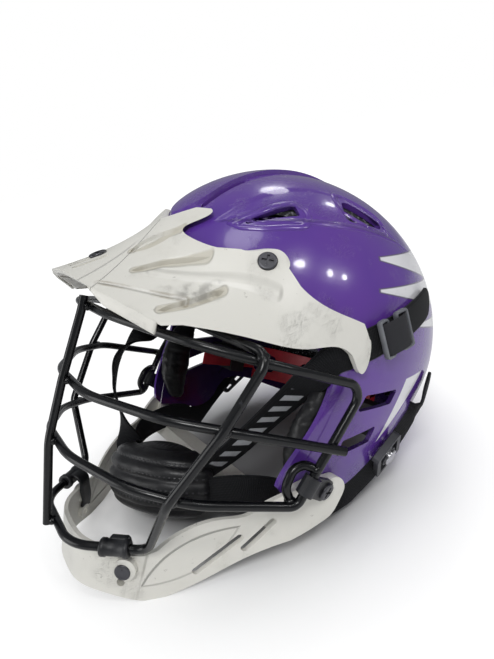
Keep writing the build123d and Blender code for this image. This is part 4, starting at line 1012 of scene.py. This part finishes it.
# Middles of the jaw pad's roll on the wearer's left, its half sizes, and its folds and unevenness
JAW_ROLL = ((86.5, -28, -113), (89, -31, -100), (92, -31.5, -87), (94.5, -30, -75), (96.5, -27.5, -63),
            (98, -25, -51), (98.5, -23, -42))
JAW_HALF = (9.2, 12.5)
JAW_FOLDS = 7.0
JAW_FOLD_SHARE = 0.11
JAW_SWAY_SHARE = 0.1
JAW_END_SHARE = 0.05
JAW_STEPS = 28
JAW_SPACING = 1.5


def roll_mesh(name, side):
    """A wrinkled padded roll along the shell's front edge."""
    path = smooth_path(JAW_ROLL, JAW_SPACING)
    last = len(path) - 1
    rows = []
    for index, place in enumerate(path):
        share = index / last
        end = max(JAW_END_SHARE, math.sin(math.pi * share)) ** 0.3
        row = []
        for step in range(JAW_STEPS):
            angle = math.tau * step / JAW_STEPS
            sway = noise.noise(Vector((share * 6, math.cos(angle), math.sin(angle) + side * 3)))
            fold = (1 - abs(math.sin(JAW_FOLDS * math.pi * share + 1.3 * sway))) ** 5
            reach = end * (1 + JAW_SWAY_SHARE * sway - JAW_FOLD_SHARE * fold)
            x = place[0] + JAW_HALF[0] * math.cos(angle) * reach
            y = place[1] + JAW_HALF[1] * math.sin(angle) * reach
            row.append(worn(mirrored((x, y, place[2]), side)))
        rows.append(row)
    return grid_mesh(name, rows, closed_across=True, caps=True)


# The visor's brim edge from its front corner back, on the wearer's left, and the lip that hangs from it: its
# section outwards and down, its depth on each side, the share of that at the corner, and how fast it grows
BRIM_EDGE = ((40.5, -159.6, -17.1), (51, -153.8, -19.4), (59.5, -148.2, -21.8), (69.4, -141.6, -24.7),
             (80.2, -135.2, -27.6))
BRIM_LIP = ((0.7, 0.5), (1.1, -0.3), (1.2, -4.9), (0.9, -5.4), (-0.3, -5.4), (-0.6, -5.0), (-0.6, -0.3))
LIP_DEPTH_SHARES = {1: 1.15, -1: 0.3}
LIP_START_SHARE = 0.12
LIP_GROWTH = 3
LIP_SPACING = 3


def lip_mesh(name, side):
    """A down-turned lip along the visor's side brim."""
    path = smooth_path(BRIM_EDGE, LIP_SPACING)
    last = len(path) - 1
    rows = []
    for index, place in enumerate(path):
        travel = (path[min(index + 1, last)] - path[max(index - 1, 0)]).normalized()
        outward = Vector((travel.y, -travel.x, 0)).normalized()
        fade = min(1, LIP_START_SHARE + index / last * LIP_GROWTH) * LIP_DEPTH_SHARES[side]
        places = [place + outward * reach + Vector((0, 0, drop * fade)) for reach, drop in BRIM_LIP]
        rows.append([worn(mirrored(corner, side)) for corner in places])
    return grid_mesh(name, rows, closed_across=True, caps=True)


def screw_seat(side):
    """Where the chin screw's disc sits on the guard, and the way the guard faces there."""
    tree = surface("chin_guard")
    out = turned(mirrored(CHIN_OUTWARD, side)).normalized()
    screw = worn(mirrored(CHIN_SCREW, side))
    spoke = out.orthogonal().normalized() * SCREW_RING
    hits = []
    for step in range(SCREW_RAYS):
        arm = Quaternion(out, math.tau * step / SCREW_RAYS) @ spoke
        hit, facing, face, distance = tree.ray_cast(screw + out * SCREW_START + arm, -out)
        if hit is not None and facing.dot(out) > SCREW_FACING:
            hits.append((distance, facing))
    if not hits:
        raise RuntimeError("the chin guard has no wall where its screw sits")
    nearest = min(distance for distance, facing in hits)
    hits = [(distance, facing) for distance, facing in hits if distance < nearest + SCREW_DEPTH]
    mean = sum(distance for distance, facing in hits) / len(hits)
    normal = sum((facing for distance, facing in hits), Vector()).normalized()
    return screw + out * (SCREW_START - mean), normal


def tab_mesh(name, rod, along, seat, normal):
    """The chin clip's tab: over the rod, then down inside the guard past its screw."""
    up = turned((0, 0, 1))
    inside = seat - normal * TAB_DEPTH
    over = rod - normal * max(TAB_CLEAR, normal.dot(rod - inside))
    stops = (rod - normal * TAB_START + up * TAB_RISE, (rod + over) / 2 + up * TAB_RISE,
             over + up * TAB_BEND, (over + inside) / 2, inside, inside - up * TAB_DROP)
    return ribbon(name, [(stop, along) for stop in stops], TAB_WIDTH, TAB_THICKNESS)


class HELMET_OT_fittings(bpy.types.Operator):
    """Fit the chin clips, buckle frames, jaw rolls and the visor's lips"""

    bl_idname = "helmet.fittings"
    bl_label = "Fit fittings"

    def chin_clips(self, side, word):
        """The clip's sleeve and tab, and the screw's flat disc."""
        seat, normal = screw_seat(side)
        dark = NODES["chin_clip_left"].data.materials[0]
        steel = NODES["chin_screw_left"].data.materials[0]
        rod = worn(mirrored(CHIN_CLIP, side))
        along = turned(mirrored(CHIN_CLIP_ALONG, side)).normalized()
        name = f"chin_clip_{word}"
        piece(name + "_sleeve", lathe(name + "_sleeve", rod, along, SLEEVE), dark, "clip_plastic", name)
        tab = tab_mesh(name + "_tab", rod, along, seat, normal)
        piece(name + "_tab", tab, dark, "clip_plastic")
        name = f"chin_screw_{word}"
        piece(name + "_disc", lathe(name + "_disc", seat, normal, DISC), steel, "screw_steel", name)

    def buckle(self, side, word):
        """Two slim frames of the upper buckle, one at each end."""
        middle, run, across, out = upper_buckle(side, word)
        grey = NODES["upper_buckle_left"].data.materials[0]
        nodes = [f"upper_buckle_{word}"]
        for end, shift, half in BUCKLE_FRAMES:
            name = f"upper_buckle_{word}_{end}_frame"
            centre = middle + (run * shift + out * FRAME_LIFT) * MM
            rows = frame_rows(centre, run, across, out, half)
            mesh = grid_mesh(name, rows, closed_along=True, closed_across=True)
            piece(name, mesh, grey, "buckle_plastic", *nodes, body=f"upper_{word}_buckle")
            nodes = []

    def execute(self, context):
        vinyl = moulded("jaw_vinyl", rgb(16, 16, 18), rgb(30, 30, 33), 0.34, 300.0, 0.0004)
        white = NODES["visor"].data.materials[0]
        for side, word in SIDES:
            self.chin_clips(side, word)
            self.buckle(side, word)
            name = f"jaw_pad_{word}_roll"
            roll = piece(name, roll_mesh(name, side), vinyl, "jaw_vinyl", f"jaw_pad_{word}")
            name = f"visor_lip_{word}"
            piece(name, lip_mesh(name, side), white, "white_plastic")
        return {"FINISHED"}


class HELMET_OT_cup_cover(bpy.types.Operator):
    """Quilt the chin cup's cover and turn the webbing over the upper buckles"""

    bl_idname = "helmet.cup_cover"
    bl_label = "Quilt cup cover"

    def execute(self, context):
        black = NODES["chin_cup"].data.materials[0]
        piece("chin_cup_cover", cover_mesh("chin_cup_cover"), black, "cup_plastic")
        plain = bpy.data.materials["webbing"]
        for side, word in SIDES:
            name = f"upper_strap_turn_{word}"
            piece(name, turn_mesh(name, side, word), plain, "webbing", body=f"upper_{word}_buckle")
        return {"FINISHED"}


# Where the mask's rods cross and are welded, on the wearer's left and on the centre line
WELDS = [(112.3, -89.5, -34.5), (108.2, -100.6, -75.6), (90.6, -113.6, -120.2), (121.4, -36.4, -80.6),
         (0, -147, -32.4), (0, -151.8, -80), (0, -154.2, -119.3), (0, -147, -173), (111, -50.5, -115.5),
         (116.5, -41, -94.6)]
# How a bead is stretched, and how lumpy it is
WELD_SHARES = (1.5, 1.5, 1.2)
WELD_LUMP_SHARE = 0.22


class HELMET_OT_welds(bpy.types.Operator):
    """Lay weld beads where the mask's rods cross"""

    bl_idname = "helmet.welds"
    bl_label = "Lay welds"

    def execute(self, context):
        radius = context.scene.helmet_sizes.weld_radius
        mesh = bpy.data.meshes.new("mask_welds")
        made = bmesh.new()
        for place in WELDS:
            for side in ((1, -1) if place[0] else (1,)):
                middle = worn(mirrored(place, side))
                grown = bmesh.ops.create_icosphere(made, subdivisions=2, radius=radius)
                for vertex in grown["verts"]:
                    lump = 1 + WELD_LUMP_SHARE * noise.noise(vertex.co * 900 + middle * 50)
                    vertex.co = middle + vertex.co * Vector(WELD_SHARES) * lump
        made.to_mesh(mesh)
        made.free()
        piece("mask_welds", mesh, NODES["mask_frame_wire"].data.materials[0], "coated_wire")
        return {"FINISHED"}


# Distances from the helmet's middle, in metres, over which the floor's painted shade gives way to its pale
# colour and its two glows set in, then the first glow's share, how bright they are, the floor's size and the
# soft light's strength
FLOOR_SHADE_FADE = (0.06, 0.12)
FLOOR_NEAR = (0.09, 0.21)
FLOOR_FAR = (0.3, 1.1)
FLOOR_NEAR_SHARE = 0.82
FLOOR_GLOW = 1.15
FLOOR_SIZE = 60
SOFT_LIGHT = 0.27


def glow_floor():
    """A pale floor: darkened by painted shade right under the helmet, in shade near it, and white to the
    camera far off.
    """
    paint = Paint("floor_white", roughness=0.9)
    away = (paint.axis("X").square() + paint.axis("Y").square()) ** 0.5
    pale = paint.mix(paint.noise(3, 2) * 0.04, rgb(250, 250, 250), rgb(238, 238, 238))
    # painted shade: the floor's colour is darker right under the helmet
    paint.set("Base Color", paint.mix(away.rise(*FLOOR_SHADE_FADE), rgb(140, 140, 142), pale))
    rays = paint.node("ShaderNodeLightPath", output="Is Camera Ray")
    glow = paint.node("ShaderNodeEmission", inputs={"Color": (1, 1, 1, 1), "Strength": FLOOR_GLOW})
    mixed = paint.tree.nodes.new("ShaderNodeMixShader")
    near = FLOOR_NEAR_SHARE * away.rise(*FLOOR_NEAR)
    paint.feed(mixed.inputs[0], rays * (near + (1 - FLOOR_NEAR_SHARE) * away.rise(*FLOOR_FAR)))
    paint.tree.links.new(paint.shader.outputs[0], mixed.inputs[1])
    paint.tree.links.new(glow.socket, mixed.inputs[2])
    paint.tree.links.new(mixed.outputs[0], paint.tree.nodes["Material Output"].inputs["Surface"])
    return paint.material


# The lamps, and the small ones that the shell mirrors: place in the row frame, size and power
LAMPS = {"key": ((1.1, -0.9, 1.7), 0.6, 15), "top": ((0.1, -0.1, 1.9), 0.7, 4),
         "fill": ((-0.5, -1.7, 0.6), 1.2, 8)}
HIGHLIGHTS = (((1.0, 0.29, 1.33), 0.17, 2.4), ((1.16, 0.66, 1.0), 0.12, 1.4),
              ((1.16, 0.84, 0.84), 0.08, 0.8), ((-0.6, 0.85, 1.24), 0.3, 1.6),
              ((-0.2, 1.26, 1.05), 0.1, 0.5))
LIGHT_TARGET = (0, 0, 0.1)


def lamp(name, place, size, power):
    """A soft round lamp aimed at the helmet's middle."""
    data = bpy.data.lights.new(name, "AREA")
    data.shape = "DISK"
    data.size = size
    data.energy = power
    made = bpy.data.objects.new(name, data)
    bpy.context.scene.collection.objects.link(made)
    made.location = place
    aim = Vector(LIGHT_TARGET) - Vector(place)
    made.rotation_euler = aim.to_track_quat("-Z", "Y").to_euler()


class HELMET_OT_stage(bpy.types.Operator):
    """Set the floor, the light and the camera"""

    bl_idname = "helmet.stage"
    bl_label = "Set stage"

    def execute(self, context):
        scene = context.scene
        bpy.ops.mesh.primitive_plane_add(size=FLOOR_SIZE)
        floor = context.object
        floor.name = "floor"
        floor.data.materials.append(glow_floor())
        world = bpy.data.worlds.new("studio")
        scene.world = world
        world.use_nodes = True
        tree = world.node_tree
        tree.nodes.clear()
        path = tree.nodes.new("ShaderNodeLightPath")
        soft = tree.nodes.new("ShaderNodeBackground")
        soft.inputs["Color"].default_value = (0.93, 0.96, 1.0, 1)
        soft.inputs["Strength"].default_value = SOFT_LIGHT
        white = tree.nodes.new("ShaderNodeBackground")
        white.inputs["Color"].default_value = (1, 1, 1, 1)
        mix = tree.nodes.new("ShaderNodeMixShader")
        out = tree.nodes.new("ShaderNodeOutputWorld")
        tree.links.new(path.outputs["Is Camera Ray"], mix.inputs[0])
        tree.links.new(soft.outputs[0], mix.inputs[1])
        tree.links.new(white.outputs[0], mix.inputs[2])
        tree.links.new(mix.outputs[0], out.inputs["Surface"])
        for name, values in LAMPS.items():
            lamp(name, *values)
        for number, values in enumerate(HIGHLIGHTS):
            lamp(f"highlight_{number}", *values)
        data = bpy.data.cameras.new("photo_camera")
        data.sensor_fit = "VERTICAL"
        data.sensor_height = CAMERA_SENSOR
        data.lens = CAMERA_LENS
        data.clip_start = CAMERA_NEAREST
        camera = bpy.data.objects.new("photo_camera", data)
        scene.collection.objects.link(camera)
        right = turned(CAMERA_RIGHT).normalized()
        up = -turned(CAMERA_DOWN).normalized()
        back = right.cross(up).normalized()
        turn = Matrix((right, up, back)).transposed().to_4x4()
        camera.matrix_world = Matrix.Translation(worn(CAMERA_PLACE)) @ turn
        scene.camera = camera
        scene.view_settings.view_transform = "Standard"
        return {"FINISHED"}


class HELMET_PT_panel(bpy.types.Panel):
    """Sizes and steps of the helmet's dressing"""

    bl_idname = "HELMET_PT_panel"
    bl_label = "Helmet"
    bl_space_type = "VIEW_3D"
    bl_region_type = "UI"
    bl_category = "Helmet"

    def draw(self, context):
        settings = context.scene.helmet_sizes
        for name in HelmetSizes.__annotations__:
            self.layout.prop(settings, name)
        for operator in OPERATORS:
            self.layout.operator(operator.bl_idname)


OPERATORS = (HELMET_OT_hard_parts, HELMET_OT_mouldings, HELMET_OT_straps, HELMET_OT_pads,
             HELMET_OT_cup_cover, HELMET_OT_fittings, HELMET_OT_welds, HELMET_OT_stage)
CLASSES = (HelmetSizes,) + OPERATORS + (HELMET_PT_panel,)


def register():
    for each in CLASSES:
        bpy.utils.register_class(each)
    bpy.types.Scene.helmet_sizes = bpy.props.PointerProperty(type=HelmetSizes)


def unregister():
    del bpy.types.Scene.helmet_sizes
    for each in reversed(CLASSES):
        bpy.utils.unregister_class(each)


def main():
    """Dresses the frame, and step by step."""
    register()
    bpy.ops.helmet.hard_parts()
    bpy.ops.helmet.mouldings()
    bpy.ops.helmet.straps()
    bpy.ops.helmet.pads()
    bpy.ops.helmet.cup_cover()
    bpy.ops.helmet.fittings()
    bpy.ops.helmet.welds()
    bpy.ops.helmet.stage()


if __name__ == "__main__":
    main()
